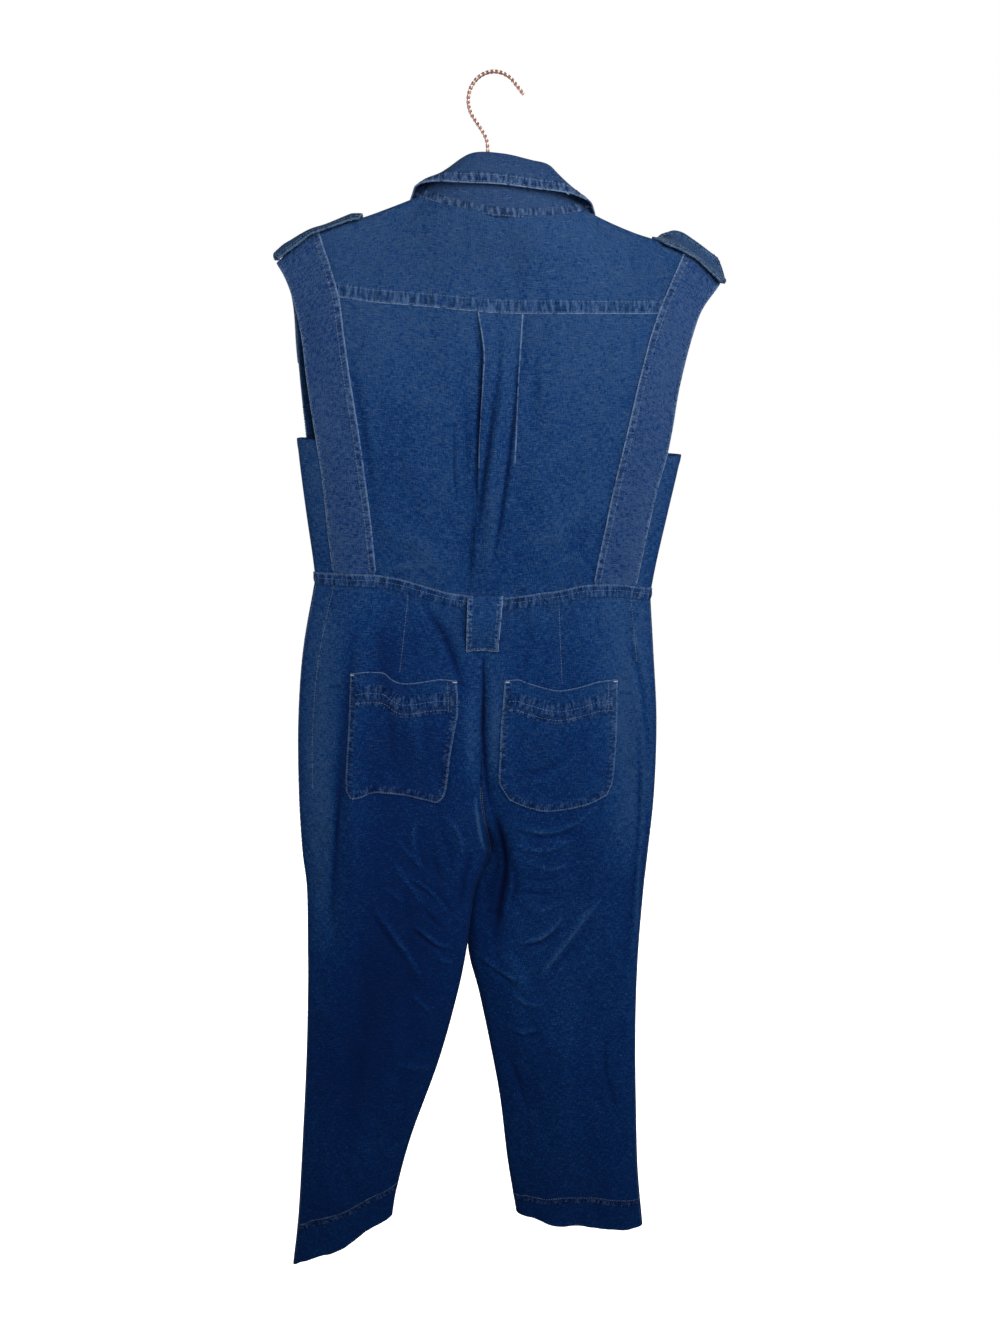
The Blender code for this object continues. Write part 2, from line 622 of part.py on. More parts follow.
WAIST_STEPS = (0.0, 0.022, 0.05, 0.085, 0.13, 0.19, 0.28, 0.39, 0.5, 0.61, 0.72, 0.81, 0.87, 0.915,
               0.95, 0.978, 1.0)


def waist_place(face, inner_left, inner_right):
    """The narrow band over the waist seam, on one face of the tube, between two x values."""
    middle, half = -13.5, 193.6
    start = math.asin(max(-1.0, (inner_left - middle) / half))
    stop = math.asin(min(1.0, (inner_right - middle) / half))
    waist = WAIST_BACK if face is Face.BACK else WAIST_FRONT

    def place(u, v):
        x = middle + half * np.sin(start + (stop - start) * u)
        seam = waist("z", x)
        z = seam + WAISTBAND_UP - (WAISTBAND_UP + WAISTBAND_DOWN) * v
        inside = np.clip(x, BODICE("left", z) + 0.005, BODICE("right", z) - 0.005)
        point = bodice_point(face, inside, np.maximum(z, seam))
        edge = np.minimum(inside - BODICE("left", z), BODICE("right", z) - inside)
        point[..., 1] += face.value * 0.12 * np.maximum(seam - z, 0.0) * round_edge(edge, SIDE_ROUND)
        point[..., 2] = z
        return point

    return place


LEG_COLUMNS = (-0.991, -0.96, -0.9, -0.82, -0.7, -0.52, -0.3, -0.05, 0.2, 0.43, 0.63, 0.8, 0.92, 0.991)
LEG_ROWS = (0.0, 0.4, 1.0, 1.8, 2.5, 3.2, 4.0, 4.5, 5.0, 6.0, 7.0, 8.5, 10.0, 11.0)


def make_legs(collection, denim):
    """Back and front leg panels, meeting at side, centre and inside seams."""
    for side, leg in (("left", LEG_LEFT), ("right", LEG_RIGHT)):
        for face in Face:
            def place(u, v, leg=leg, face=face, side=side):
                point = leg_point(leg, face, side, u, v)
                away = -1.0 if side == "left" else 1.0
                point[..., 0] += away * np.clip(u, 0.0, 1.0) ** 4 * SEAM_GAP / 2
                point[..., 2] -= WAIST_GAP * (1 - ease(v))
                return point
            cloth(f"leg_{face.name.lower()}_{side}", place, LEG_COLUMNS, LEG_ROWS, collection, denim,
                  outward=(side == "right") == (face is Face.BACK))


def make_waistband(collection, worn):
    """The stitched band: whole across the back, in two lengths at the front."""
    low, high = -206.9, 179.9
    lift = LAYER + 0.4
    cloth("waistband_back", waist_place(Face.BACK, low, high), WAIST_STEPS, (0.0, 1.0), collection,
          worn, lift=lift)
    middle = float(CENTRE_FRONT("x", -541.0))
    ends = middle - PLACKET_HALF - 1.5, middle + PLACKET_HALF + 1.5
    halves = [2 * step for step in WAIST_STEPS if step <= 0.5]
    cloth("waistband_front_left", waist_place(Face.FRONT, low, ends[0]), halves, (0.0, 1.0),
          collection, worn, lift=lift, outward=True)
    cloth("waistband_front_right", waist_place(Face.FRONT, ends[1], high),
          [1 - step for step in halves[::-1]], (0.0, 1.0), collection, worn, lift=lift, outward=True)


def pocket_place(side):
    """A patch pocket on a back leg: u across, v from its mouth down, standing out a little."""
    leg = LEG_LEFT if side == "left" else LEG_RIGHT
    outline = POCKET_LEFT if side == "left" else POCKET_RIGHT
    top, bottom = outline.key[-1], outline.key[0]

    def place(u, v):
        z = top + (bottom - top) * v
        x = outline("left", z) + (outline("right", z) - outline("left", z)) * u
        q, s = leg_station(leg, Face.BACK, side, x, z)
        point = leg_point(leg, Face.BACK, side, q, s)
        gape = 1.3 * np.sin(math.pi * np.clip(u, 0, 1)) * (1 - v) ** 2
        point[..., 1] -= gape
        return point
    return place


def make_pockets(collection, denim):
    """Two back patch pockets."""
    for side in ("left", "right"):
        cloth(f"pocket_{side}", pocket_place(side), spaced(0.0, 1.0, 9), spaced(0.0, 1.0, 10),
              collection, denim, lift=LAYER + 0.4)


def loop_place(u, v):
    """The wide belt loop at centre back, standing off the seat so that a belt slides through."""
    x = LOOP_X + LOOP_HALF * (2 * u - 1)
    z = LOOP_TOP + (LOOP_BOTTOM - LOOP_TOP) * v
    seat = bodice_depth(Face.BACK, np.full_like(x, LOOP_X), np.full_like(x, -536.0)) + LAYER
    low = np.full_like(x, LEG_LEFT("back", 0.9))
    depth = seat + (low - seat) * v + LOOP_STANDOFF * np.sin(math.pi * v)
    return np.stack([x, -depth, z], axis=-1)


def make_belt_loop(collection, worn):
    """The belt loop, over the waist band and down to the seat."""
    cloth("belt_loop", loop_place, spaced(0.0, 1.0, 3), spaced(0.0, 1.0, 6), collection, worn,
          lift=TAB_WALL + 0.9, wall=TAB_WALL)


# ---------------------------------------------------------------- collar and tabs

def neck_point(angle):
    """The neck seam: angle 0 at centre back, 90 degrees at the right shoulder, 180 at the front."""
    turn = np.radians(angle)
    x = NECK_X + NECK_HALF * np.sin(turn)
    back = np.cos(turn) > 0
    point_back = bodice_point(Face.BACK, x, NECK_BACK("z", x))
    point_front = bodice_point(Face.FRONT, x, NECK_FRONT("z", x))
    return np.where(back[..., None], point_back, point_front)


def collar_row(prefix, angle):
    """A named line of the collar table as x, y, z."""
    return np.stack([COLLAR(f"{prefix}_{axis}", angle) for axis in "xyz"], axis=-1)


def proud(points, clearance):
    """Points held out from the bodice's face, where they lie over it."""
    x, y, z = points[..., 0], points[..., 1], points[..., 2]
    for face in Face:
        least = bodice_depth(face, x, z) + clearance
        over = (face.value * y > 0.5) & (SHOULDER("z", x) > z) & (np.abs(y) < least)
        y = np.where(over, face.value * least, y)
    return np.stack([x, y, z], axis=-1)


def stand_place(u, v):
    """The collar stand: u is the angle round the neck, v from the neck seam up."""
    low = neck_point(u)
    top = collar_row("top", u)
    way = top - low
    length = np.linalg.norm(way, axis=-1, keepdims=True)
    start = low + way / length * 2.0 * SEAM_GAP + np.array([0.0, 0.0, 0.6])
    return start + (top - start) * v[..., None]


def fall_place(u, v):
    """The collar: v 0 on the stand, 1 inside the roll, 2 on it, 3 outside it, 4 half way, 5 the edge."""
    turn = np.radians(u)
    out = np.stack([np.sin(turn), -np.cos(turn), np.zeros_like(turn)], axis=-1)
    top, roll, edge = (collar_row(name, u) for name in ("top", "roll", "edge"))
    rise = np.array([0.0, 0.0, 1.0])
    way = (roll - top) / np.linalg.norm(roll - top, axis=-1, keepdims=True)
    lines = [
        top + way * 3.6 * SEAM_GAP,
        roll - out * 1.8 - rise * 2.0,
        roll + rise * 0.6,
        roll + out * 2.4 - rise * 1.2,
        proud((roll + edge) / 2 + out * 3.0, 2.6),
        proud(edge, 2.6),
    ]
    stack = np.stack(lines)
    low = np.clip(np.floor(v).astype(int), 0, 4)
    t = (v - low)[..., None]
    rows, columns = np.indices(low.shape)

    def line(index):
        return stack[np.clip(index, 0, 5), rows, columns]

    before, here, there, after = line(low - 1), line(low), line(low + 1), line(low + 2)
    slope_here, slope_there = (there - before) / 2, (after - here) / 2
    return (
        here * (2 * t**3 - 3 * t**2 + 1) + slope_here * (t**3 - 2 * t**2 + t)
        + there * (3 * t**2 - 2 * t**3) + slope_there * (t**3 - t**2)
    )


def make_collar(collection, denim):
    """Stand and fall of the shirt collar, lying open at centre front."""
    half = (0.0, 22.5, 45.0, 67.5, 90.0, 101.0, 112.5, 135.0, 157.5, 178.5)
    angles = [-angle for angle in half[:0:-1]] + list(half)
    cloth("collar_stand", stand_place, angles, (0.0, 0.5, 1.0), collection, denim, outward=True)
    cloth("collar_fall", fall_place, angles, (0.0, 0.6, 1.3, 2.0, 2.6, 3.2, 4.0, 5.0), collection,
          denim, wall=COLLAR_WALL)


def tab_place(side):
    """A shoulder tab: u along it from the pointed inner end, v across from back to front."""
    table = TAB_LEFT if side == "left" else TAB_RIGHT
    inner, outer = TAB_ENDS[side]
    sign = -1.0 if side == "left" else 1.0

    def place(u, v):
        x = inner + (outer - inner) * u
        across = 2 * v - 1
        point = TAB_POINT * (1 - u) ** 3 * np.abs(across)
        x = x + sign * point
        drop = np.where(across < 0, table("near_drop", x), table("far_drop", x))
        z = table("centre_z", x) - drop * np.abs(across) ** 1.6
        return np.stack([x, TAB_HALF_WIDTH * across, z], axis=-1)
    return place


def make_tabs(collection, worn):
    """The two shoulder tabs."""
    for side in ("left", "right"):
        cloth(f"shoulder_tab_{side}", tab_place(side), spaced(0.0, 1.0, 7), spaced(0.0, 1.0, 4),
              collection, worn, wall=TAB_WALL, outward=side == "right")


# ---------------------------------------------------------------- front closure

def front_centre_depth(z):
    """Depth of the front at its centre, over bodice and trousers."""
    x = CENTRE_FRONT("x", z)
    bodice = bodice_depth(Face.FRONT, x, z)
    q, s = leg_station(LEG_RIGHT, Face.FRONT, "right", x + 25.0, np.minimum(z, -545.0))
    trousers = leg_point(LEG_RIGHT, Face.FRONT, "right", q, s)[..., 1]
    share = ease((-z - 500.0) / 60.0)
    return bodice * (1 - share) + trousers * share


def placket_place(u, v):
    """The buttoned strip down the front: u across, v from the neck to below the waist."""
    across = PLACKET_HALF * (2 * u - 1)
    top = NECK_FRONT("z", NECK_X + across) - 0.5
    z = top + (PLACKET_END - top) * v
    return np.stack([CENTRE_FRONT("x", z) + across, front_centre_depth(z), z], axis=-1)


def make_placket(collection, worn):
    """The front strip."""
    cloth("front_placket", placket_place, spaced(0.0, 1.0, 2), spaced(0.0, 1.0, 22), collection, worn,
          lift=LAYER + 0.2, outward=True)


BUTTON_PROFILE = (      # share of the radius, share of the thickness, from the top down
    (0.0, 1.0), (0.84, 1.0), (0.96, 0.82), (1.0, 0.6), (1.0, 0.3), (0.84, 0.0), (0.0, 0.0),
)


def make_button(name, z, collection, look):
    """A button: a profile turned about its axis, facing away from the placket."""
    mesh = bmesh.new()
    ring = [mesh.verts.new((BUTTON_RADIUS * share * MM, 0.0, BUTTON_THICK * height * MM))
            for share, height in BUTTON_PROFILE]
    for first, second in zip(ring, ring[1:]):
        mesh.edges.new((first, second))
    data = bpy.data.meshes.new(name)
    mesh.to_mesh(data)
    mesh.free()
    made = link(name, data, collection, look)
    turned = made.modifiers.new("turned", "SCREW")
    turned.steps = turned.render_steps = 12
    turned.use_merge_vertices = True
    turned.merge_threshold = 0.00001
    depth = float(front_centre_depth(np.array([z]))[0])
    made.location = (float(CENTRE_FRONT("x", z)) * MM, (depth + LAYER + BUTTON_STAND) * MM, z * MM)
    made.rotation_euler = (-math.pi / 2, 0.0, 0.0)


# ---------------------------------------------------------------- hanger

def hook_path():
    """The wire's middle line: shank, neck bend, straight neck, crook and tip."""
    lean = math.radians(CROOK_START - 180.0)
    centre_z = WIRE_RADIUS - CROOK_RADIUS
    start = (CROOK_RADIUS * math.cos(math.radians(CROOK_START)),
             centre_z + CROOK_RADIUS * math.sin(math.radians(CROOK_START)))
    along = (math.sin(lean), -math.cos(lean))
    foot = (start[0] + along[0] * NECK_STRAIGHT, start[1] + along[1] * NECK_STRAIGHT)
    shank_x = foot[0] + NECK_BEND * (1 - math.cos(lean))
    bend_z = foot[1] - NECK_BEND * math.sin(lean)
    points = [(shank_x, ARM_TOP_MIDDLE - SOCKET_DEPTH + 1.0), (shank_x, (ARM_TOP_MIDDLE + bend_z) / 2)]
    for k in range(6):
        turn = lean * k / 5
        points.append((shank_x - NECK_BEND * (1 - math.cos(turn)), bend_z + NECK_BEND * math.sin(turn)))
    steps = 22
    for k in range(steps + 1):
        angle = math.radians(CROOK_START + (CROOK_END - CROOK_START) * k / steps)
        points.append((CROOK_RADIUS * math.cos(angle), centre_z + CROOK_RADIUS * math.sin(angle)))
    end = math.radians(CROOK_END)
    last = points[-1]
    points.append((last[0] + TIP_LENGTH * math.sin(end), last[1] - TIP_LENGTH * math.cos(end)))
    return shank_x, points


def make_hook(collection, copper):
    """The wire hook, a curve with a round bevel."""
    _, points = hook_path()
    data = bpy.data.curves.new("hanger_hook", "CURVE")
    data.dimensions = "3D"
    data.bevel_depth = WIRE_RADIUS * MM
    data.bevel_resolution = 2
    data.use_fill_caps = True
    line = data.splines.new("POLY")
    line.points.add(len(points) - 1)
    for point, (x, z) in zip(line.points, points):
        point.co = (x * MM, 0.0, z * MM, 1.0)
    return link("hanger_hook", data, collection, copper)


def arm_top(x, shank_x):
    """Top of the hanger's arms: just under the shoulder ridge, and level inside the neck."""
    ridge = float(SHOULDER("z", x)) - WALL - ARM_CLEAR
    fall = ARM_FALL_LEFT if x < shank_x else ARM_FALL_RIGHT
    return min(ridge, ARM_TOP_MIDDLE - fall * abs(x - shank_x))


def make_arms(collection, cutters, flock):
    """The hanger's arms: rounded upright sections that taper to the ends, with the hook's socket."""
    shank_x, _ = hook_path()
    sides = 12
    mesh = bmesh.new()
    rings = []
    stations = list(spaced(ARM_LEFT, shank_x, 14)) + list(spaced(shank_x, ARM_RIGHT, 14))[1:]
    for x in stations:
        reach = abs(x - shank_x) / (ARM_RIGHT - shank_x)
        height = ARM_HEIGHT_MIDDLE + (ARM_HEIGHT_END - ARM_HEIGHT_MIDDLE) * min(reach, 1.0)
        thick = ARM_HALF_THICK + (ARM_END_THICK - ARM_HALF_THICK) * min(reach, 1.0)
        end = round_edge(min(x - ARM_LEFT, ARM_RIGHT - x) + 1.0, 12.0)
        top = arm_top(x, shank_x)
        middle = top - height / 2
        ring = []
        for k in range(sides):
            turn = 2 * math.pi * k / sides
            y = math.copysign(abs(math.cos(turn)) ** 0.8, math.cos(turn)) * thick * float(end)
            z = math.sin(turn) * height / 2 * float(end)
            ring.append(mesh.verts.new((x * MM, y * MM, (middle + z) * MM)))
        rings.append(ring)
    for first, second in zip(rings, rings[1:]):
        for k in range(sides):
            mesh.faces.new([first[k], first[(k + 1) % sides], second[(k + 1) % sides], second[k]])
    mesh.faces.new(rings[0][::-1])
    mesh.faces.new(rings[-1])
    bmesh.ops.recalc_face_normals(mesh, faces=mesh.faces[:])
    data = bpy.data.meshes.new("hanger_arms")
    mesh.to_mesh(data)
    mesh.free()
    arms = link("hanger_arms", data, collection, flock)
    bpy.ops.mesh.primitive_cylinder_add(
        vertices=16, radius=(WIRE_RADIUS + SOCKET_CLEAR) * MM, depth=2 * SOCKET_DEPTH * MM,
        location=(shank_x * MM, 0.0, ARM_TOP_MIDDLE * MM))
    drill = bpy.context.object
    drill.name = "socket_drill"
    drill.hide_render = True
    drill.display_type = "WIRE"
    for owner in list(drill.users_collection):
        owner.objects.unlink(drill)
    cutters.objects.link(drill)
    cut = arms.modifiers.new("hook_socket", "BOOLEAN")
    cut.operation = "DIFFERENCE"
    cut.object = drill


def main():
    """Builds every piece."""
    for old in list(bpy.data.objects):
        bpy.data.objects.remove(old)
    collection = bpy.data.collections.new("jumpsuit")
    cutters = bpy.data.collections.new("cutters")
    for made in (collection, cutters):
        bpy.context.scene.collection.children.link(made)
    denim = material("denim", DENIM, 0.85)
    worn = material("denim_worn", DENIM_WORN, 0.85)
    copper = material("copper_wire", (0.75, 0.45, 0.36), 0.25, 1.0)
    flock = material("hanger_arm", (0.035, 0.033, 0.035), 0.9)
    button = material("button", (0.05, 0.08, 0.14), 0.4)
    make_hook(collection, copper)
    make_arms(collection, cutters, flock)
    make_bodice(collection, denim, worn)
    make_waistband(collection, worn)
    make_legs(collection, denim)
    make_pockets(collection, denim)
    make_belt_loop(collection, worn)
    make_collar(collection, denim)
    make_tabs(collection, worn)
    make_placket(collection, worn)
    for number, z in enumerate(BUTTON_HEIGHTS, 1):
        make_button(f"button_{number}", z, collection, button)


main()
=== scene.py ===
"""The finish of a sleeveless denim jumpsuit that hangs from a slim hanger.

Sizes are in millimetres unless a name says otherwise, and meshes are made in metres.
+Z is up, the back of the garment faces -Y, the wearer's right side is on +X, and the
origin is the inside of the hook's crook. Each garment panel is a fine shell laid on the
form that its solid has, with its turnings, puckers, creases and stitches.
"""

import logging
import math
from dataclasses import dataclass, field
from enum import Enum
from functools import partial
from typing import Callable, Optional, Sequence

import bmesh
import bpy
import numpy as np
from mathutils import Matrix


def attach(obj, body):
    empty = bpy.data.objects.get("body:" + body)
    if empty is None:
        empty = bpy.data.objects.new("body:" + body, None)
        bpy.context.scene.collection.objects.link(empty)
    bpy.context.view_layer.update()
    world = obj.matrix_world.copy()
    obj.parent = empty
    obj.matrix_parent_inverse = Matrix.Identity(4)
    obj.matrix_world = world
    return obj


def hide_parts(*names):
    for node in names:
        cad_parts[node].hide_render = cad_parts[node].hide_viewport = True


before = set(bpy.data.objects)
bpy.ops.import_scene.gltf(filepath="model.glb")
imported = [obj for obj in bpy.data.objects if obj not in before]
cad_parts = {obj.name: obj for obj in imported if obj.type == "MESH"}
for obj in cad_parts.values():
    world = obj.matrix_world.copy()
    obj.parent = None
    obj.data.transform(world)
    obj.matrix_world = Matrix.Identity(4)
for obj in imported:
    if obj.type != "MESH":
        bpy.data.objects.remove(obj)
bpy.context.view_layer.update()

Array = np.ndarray
Surface = Callable[[Array, Array], Array]
Colour = tuple[float, float, float]
Path = tuple[tuple[float, float], ...]
Span = tuple[float, float, float, Sequence[float]]

MM = 0.001
log = logging.getLogger("jumpsuit")


# ---- curves and tables

def ease(share: Array) -> Array:
    """0 to 1 with a soft start and end."""
    share = np.clip(share, 0.0, 1.0)
    return share * share * (3 - 2 * share)


def round_edge(distance: Array, width: float) -> Array:
    """0 at an edge and 1 from width inwards, along a quarter of an ellipse."""
    share = np.clip(distance / width, 0.0, 1.0)
    return np.sqrt(1 - (1 - share) ** 2)


def unit(vectors: Array) -> Array:
    """Vectors made one long along the last axis."""
    return vectors / np.maximum(np.linalg.norm(vectors, axis=-1, keepdims=True), 1e-12)


def run_of(points: Array) -> Array:
    """Length along a polyline at each of its points."""
    return np.concatenate([[0.0], np.cumsum(np.linalg.norm(np.diff(points, axis=0), axis=-1))])


def smooth_step(t: Array, a: Array, b: Array, slope_a: Array, slope_b: Array) -> Array:
    """A cubic between two values.

    Args:
        t: share of the way, 0 to 1.
        a: the value at 0.
        b: the value at 1.
        slope_a: the slope at 0.
        slope_b: the slope at 1.

    Returns:
        The value at each share.
    """
    return (
        a * (2 * t**3 - 3 * t**2 + 1)
        + slope_a * (t**3 - 2 * t**2 + t)
        + b * (3 * t**2 - 2 * t**3)
        + slope_b * (t**3 - t**2)
    )


class Table:
    """Rows of sizes under named columns, read between the rows on a smooth curve."""

    def __init__(self, columns: str, *rows: Sequence[float]) -> None:
        """Keeps the rows in rising order of their first column.

        Args:
            columns: names of the columns, with spaces between.
            rows: the sizes, one tuple a row.
        """
        self.names = columns.split()
        data = np.array(rows, float)
        if data[0, 0] > data[-1, 0]:
            data = data[::-1]
        self.key = data[:, 0]
        self.values = data
        step = np.diff(self.key)[:, None]
        rise = np.diff(data, axis=0) / step
        inner = (rise[:-1] * step[1:] + rise[1:] * step[:-1]) / (step[1:] + step[:-1])
        self.slopes = np.vstack([rise[:1], inner, rise[-1:]])

    def __call__(self, name: str, at: Array) -> Array:
        """One column's size.

        Args:
            name: the column.
            at: values of the first column.

        Returns:
            The sizes there, on a straight line beyond the table's ends.
        """
        at = np.asarray(at, float)
        column = self.names.index(name)
        low = np.clip(np.searchsorted(self.key, at) - 1, 0, len(self.key) - 2)
        step = self.key[low + 1] - self.key[low]
        share = (at - self.key[low]) / step
        t = np.clip(share, 0.0, 1.0)
        slope_a, slope_b = self.slopes[low, column] * step, self.slopes[low + 1, column] * step
        beyond = share - t
        return (smooth_step(t, self.values[low, column], self.values[low + 1, column], slope_a, slope_b)
                + beyond * np.where(beyond < 0, slope_a, slope_b))


def smooth_path(points: Sequence[Sequence[float]], pieces: int = 8) -> Array:
    """A smooth polyline through a few points.

    Args:
        points: the points, with two or three numbers each.
        pieces: how many short lines stand for the way from one point to the next.

    Returns:
        The polyline's points.
    """
    data = np.array(points, float)
    table = Table("at " + " ".join(f"c{k}" for k in range(data.shape[1])),
                  *[(k, *row) for k, row in enumerate(data)])
    at = np.linspace(0.0, len(data) - 1.0, (len(data) - 1) * pieces + 1)
    return np.stack([table(f"c{k}", at) for k in range(data.shape[1])], axis=-1)


def from_line(points: Array, line: Array) -> tuple[Array, Array]:
    """Distance of points from a polyline, and how far along it they lie.

    Args:
        points: shape (..., dimensions).
        line: the polyline's points.

    Returns:
        Distance and run, both with the points' shape.
    """
    flat = points.reshape(-1, points.shape[-1])
    start, way = line[:-1], np.diff(line, axis=0)
    length2 = np.maximum((way**2).sum(-1), 1e-12)
    along = run_of(line)
    best, run = np.full(len(flat), np.inf), np.zeros(len(flat))
    for k in range(len(way)):
        t = np.clip(((flat - start[k]) @ way[k]) / length2[k], 0.0, 1.0)
        away = np.linalg.norm(flat - start[k] - t[:, None] * way[k], axis=-1)
        nearer = away < best
        best = np.where(nearer, away, best)
        run = np.where(nearer, along[k] + t * (along[k + 1] - along[k]), run)
    return best.reshape(points.shape[:-1]), run.reshape(points.shape[:-1])


# ---- the hanging form

class Face(Enum):
    """The two faces of the hanging tube, with their side of the middle plane."""

    BACK = -1
    FRONT = 1


class Side(Enum):
    """The wearer's left and right."""

    LEFT = "left"
    RIGHT = "right"

    @property
    def sign(self) -> float:
        """-1 on the left and 1 on the right."""
        return -1.0 if self is Side.LEFT else 1.0


SHOULDER = Table(
    "x z",
    (-227, -177.5), (-208, -161), (-184, -146.8), (-160, -138.5), (-136, -132.5),
    (-110, -124), (-86, -115.5), (-6, -84), (92, -124.5), (117, -136), (148, -148),
    (175, -156), (195, -163.5), (213, -172.5), (229, -186.5), (240, -200),
)
NECK = {
    Face.BACK: Table(
        "x z",
        (-79, -113), (-65, -117.5), (-45, -123.7), (-25, -127.5), (-6, -131), (14, -133),
        (33, -133.5), (52, -133), (72, -131), (88, -127.5), (95, -126),
    ),
    Face.FRONT: Table(
        "x z",
        (-79, -113), (-70, -140), (-55, -168), (-35, -190), (-12, -202), (8, -205),
        (28, -202), (52, -192), (72, -172), (87, -148), (95, -126),
    ),
}
BODICE = Table(
    "z left right back front",
    (-150, -239, 249, 15, 17), (-200, -225, 245, 19, 21), (-245, -221, 232, 22, 24),
    (-290, -220, 220.5, 25, 27), (-340, -219.5, 213, 27, 30), (-385, -217.5, 206, 28, 31),
    (-440, -213.5, 196, 26, 29), (-505, -208, 184.5, 23, 25), (-545, -206, 179, 22, 24),
)
BAND = {
    Side.LEFT: Table(
        "z inner outer",
        (-150, -182, -236), (-180, -172, -222), (-210, -163.5, -213), (-250, -158.5, -205),
        (-300, -152.7, -200.5), (-350, -146.3, -195), (-410, -140.6, -189),
        (-450, -137.2, -187.3), (-510, -134.2, -183.6), (-545, -133.5, -182),
    ),
    Side.RIGHT: Table(
        "z inner outer",
        (-165, 199, 250), (-200, 184, 235), (-223, 174.5, 220), (-250, 165.5, 210.5),
        (-300, 153.3, 199), (-350, 143.3, 192.5), (-380, 136.8, 187.5), (-410, 130.8, 180),
        (-450, 124, 173), (-525, 111.5, 160.5), (-545, 109, 157),
    ),
}
ARMHOLE_FRONT = {
    Side.LEFT: Table("z x", (-150, -232), (-180, -222), (-207, -216), (-266, -214), (-318, -212.5),
                     (-360, -210)),
    Side.RIGHT: Table("z x", (-165, 240), (-200, 227), (-223, 211), (-250, 202), (-300, 190),
                      (-350, 184), (-378, 180)),
}
UNDERARM = {Side.LEFT: -358.0, Side.RIGHT: -376.0}
CENTRE_FRONT = Table(
    "z x",
    (-110, 8), (-205, 8), (-320, 5.5), (-430, 0.5), (-541, -6), (-603, -12.6), (-690, -15.5),
    (-785, -16.5),
)
YOKE_SEAM = Table(
    "x z",
    (-175, -208.5), (-162, -210.4), (-124, -215.6), (-78, -219.2), (-31, -223.6),
    (6, -226.5), (62, -227), (118, -227), (185, -227),
)
WAIST = {
    Face.BACK: Table(
        "x z",
        (-210, -515.5), (-183, -514.5), (-133, -515.5), (-103, -521), (-73, -530), (-50, -536),
        (-31, -539), (6, -541.5), (53, -536), (75, -533), (101, -527), (111, -526.5),
        (146, -528), (175, -533), (185, -535),
    ),
    Face.FRONT: Table(
        "x z",
        (-210, -515.5), (-150, -521), (-80, -531), (8, -539), (90, -538), (150, -535), (185, -535),
    ),
}
PLEAT = Table(
    "z left right height",
    (-227, -17.6, 31, 3.2), (-266, -11.8, 28.5, 3.6), (-300, -13.5, 26.3, 3.8),
    (-360, -17.3, 24.3, 4.2), (-420, -19, 21.4, 3.6), (-480, -23.5, 19.3, 2.2),
    (-541, -27, 18, 1.0),
)
FRONT_TIP = {Side.LEFT: -226.0, Side.RIGHT: 237.0}      # where the fronts end at the shoulders
YOKE_LOW = {Side.LEFT: -210.0, Side.RIGHT: -227.0}
BAND_TOP = {Side.LEFT: (-182.0, -228.0), Side.RIGHT: (199.0, 238.0)}
NECK_X, NECK_HALF, NECK_FADE = 8.0, 87.0, 60.0
NECK_OUT = {Face.BACK: 31.0, Face.FRONT: 28.0}
NECK_SPREAD, NECK_POWER = 0.9, 0.8      # how the neck's bulge widens below it and eases at its ends
NECK_BLEND = 8.0            # how softly the neck's bulge leaves the bodice, once well below the ridge
PLEAT_CAUGHT, PLEAT_FREED = 0.35, 26.0  # share of its height at the yoke, and where it has all of it
PLEAT_FOLD, PLEAT_LOOSE = 1.0, 9.0      # width of its folds' edges, and what the waist adds to it
RIDGE_RADIUS, RIDGE_SPREAD, RIDGE_START = 8.0, 120.0, 0.03
SIDE_ROUND = 100.0
SEAM_GAP, WAIST_GAP = 0.4, 0.8
LAYER = 2.0                 # from a panel's face to the face of a piece that lies on it
WALL, COLLAR_WALL, TAB_WALL = 1.2, 1.6, 2.4
PRESS = 2.0                 # how much deeper than the table's sizes the creases are pressed in
WEAR_AND_SHADE_PER_MM = 0.38          # how much paler a crease 1 mm high and under 4 mm wide is painted with wear, and half that much darker as painted shade in a trough
FINE = 4.0                  # width of the creases whose wear and painted shade are strongest


def pleat_lift(x: Array, z: Array) -> Array:
    """How far the box pleat down the centre back stands out.

    Args:
        x: places across.
        z: heights.

    Returns:
        The lift at each place.
    """
    left, right = PLEAT("left", z), PLEAT("right", z)
    soft = PLEAT_FOLD + PLEAT_LOOSE * ease((-z - 380) / 160)
    rise = ease((x - left) / soft + 0.5) * ease((right - x) / soft + 0.5)
    freed = PLEAT_CAUGHT + (1 - PLEAT_CAUGHT) * ease((YOKE_SEAM("z", x) - z) / PLEAT_FREED)
    return PLEAT("height", z) * rise * freed


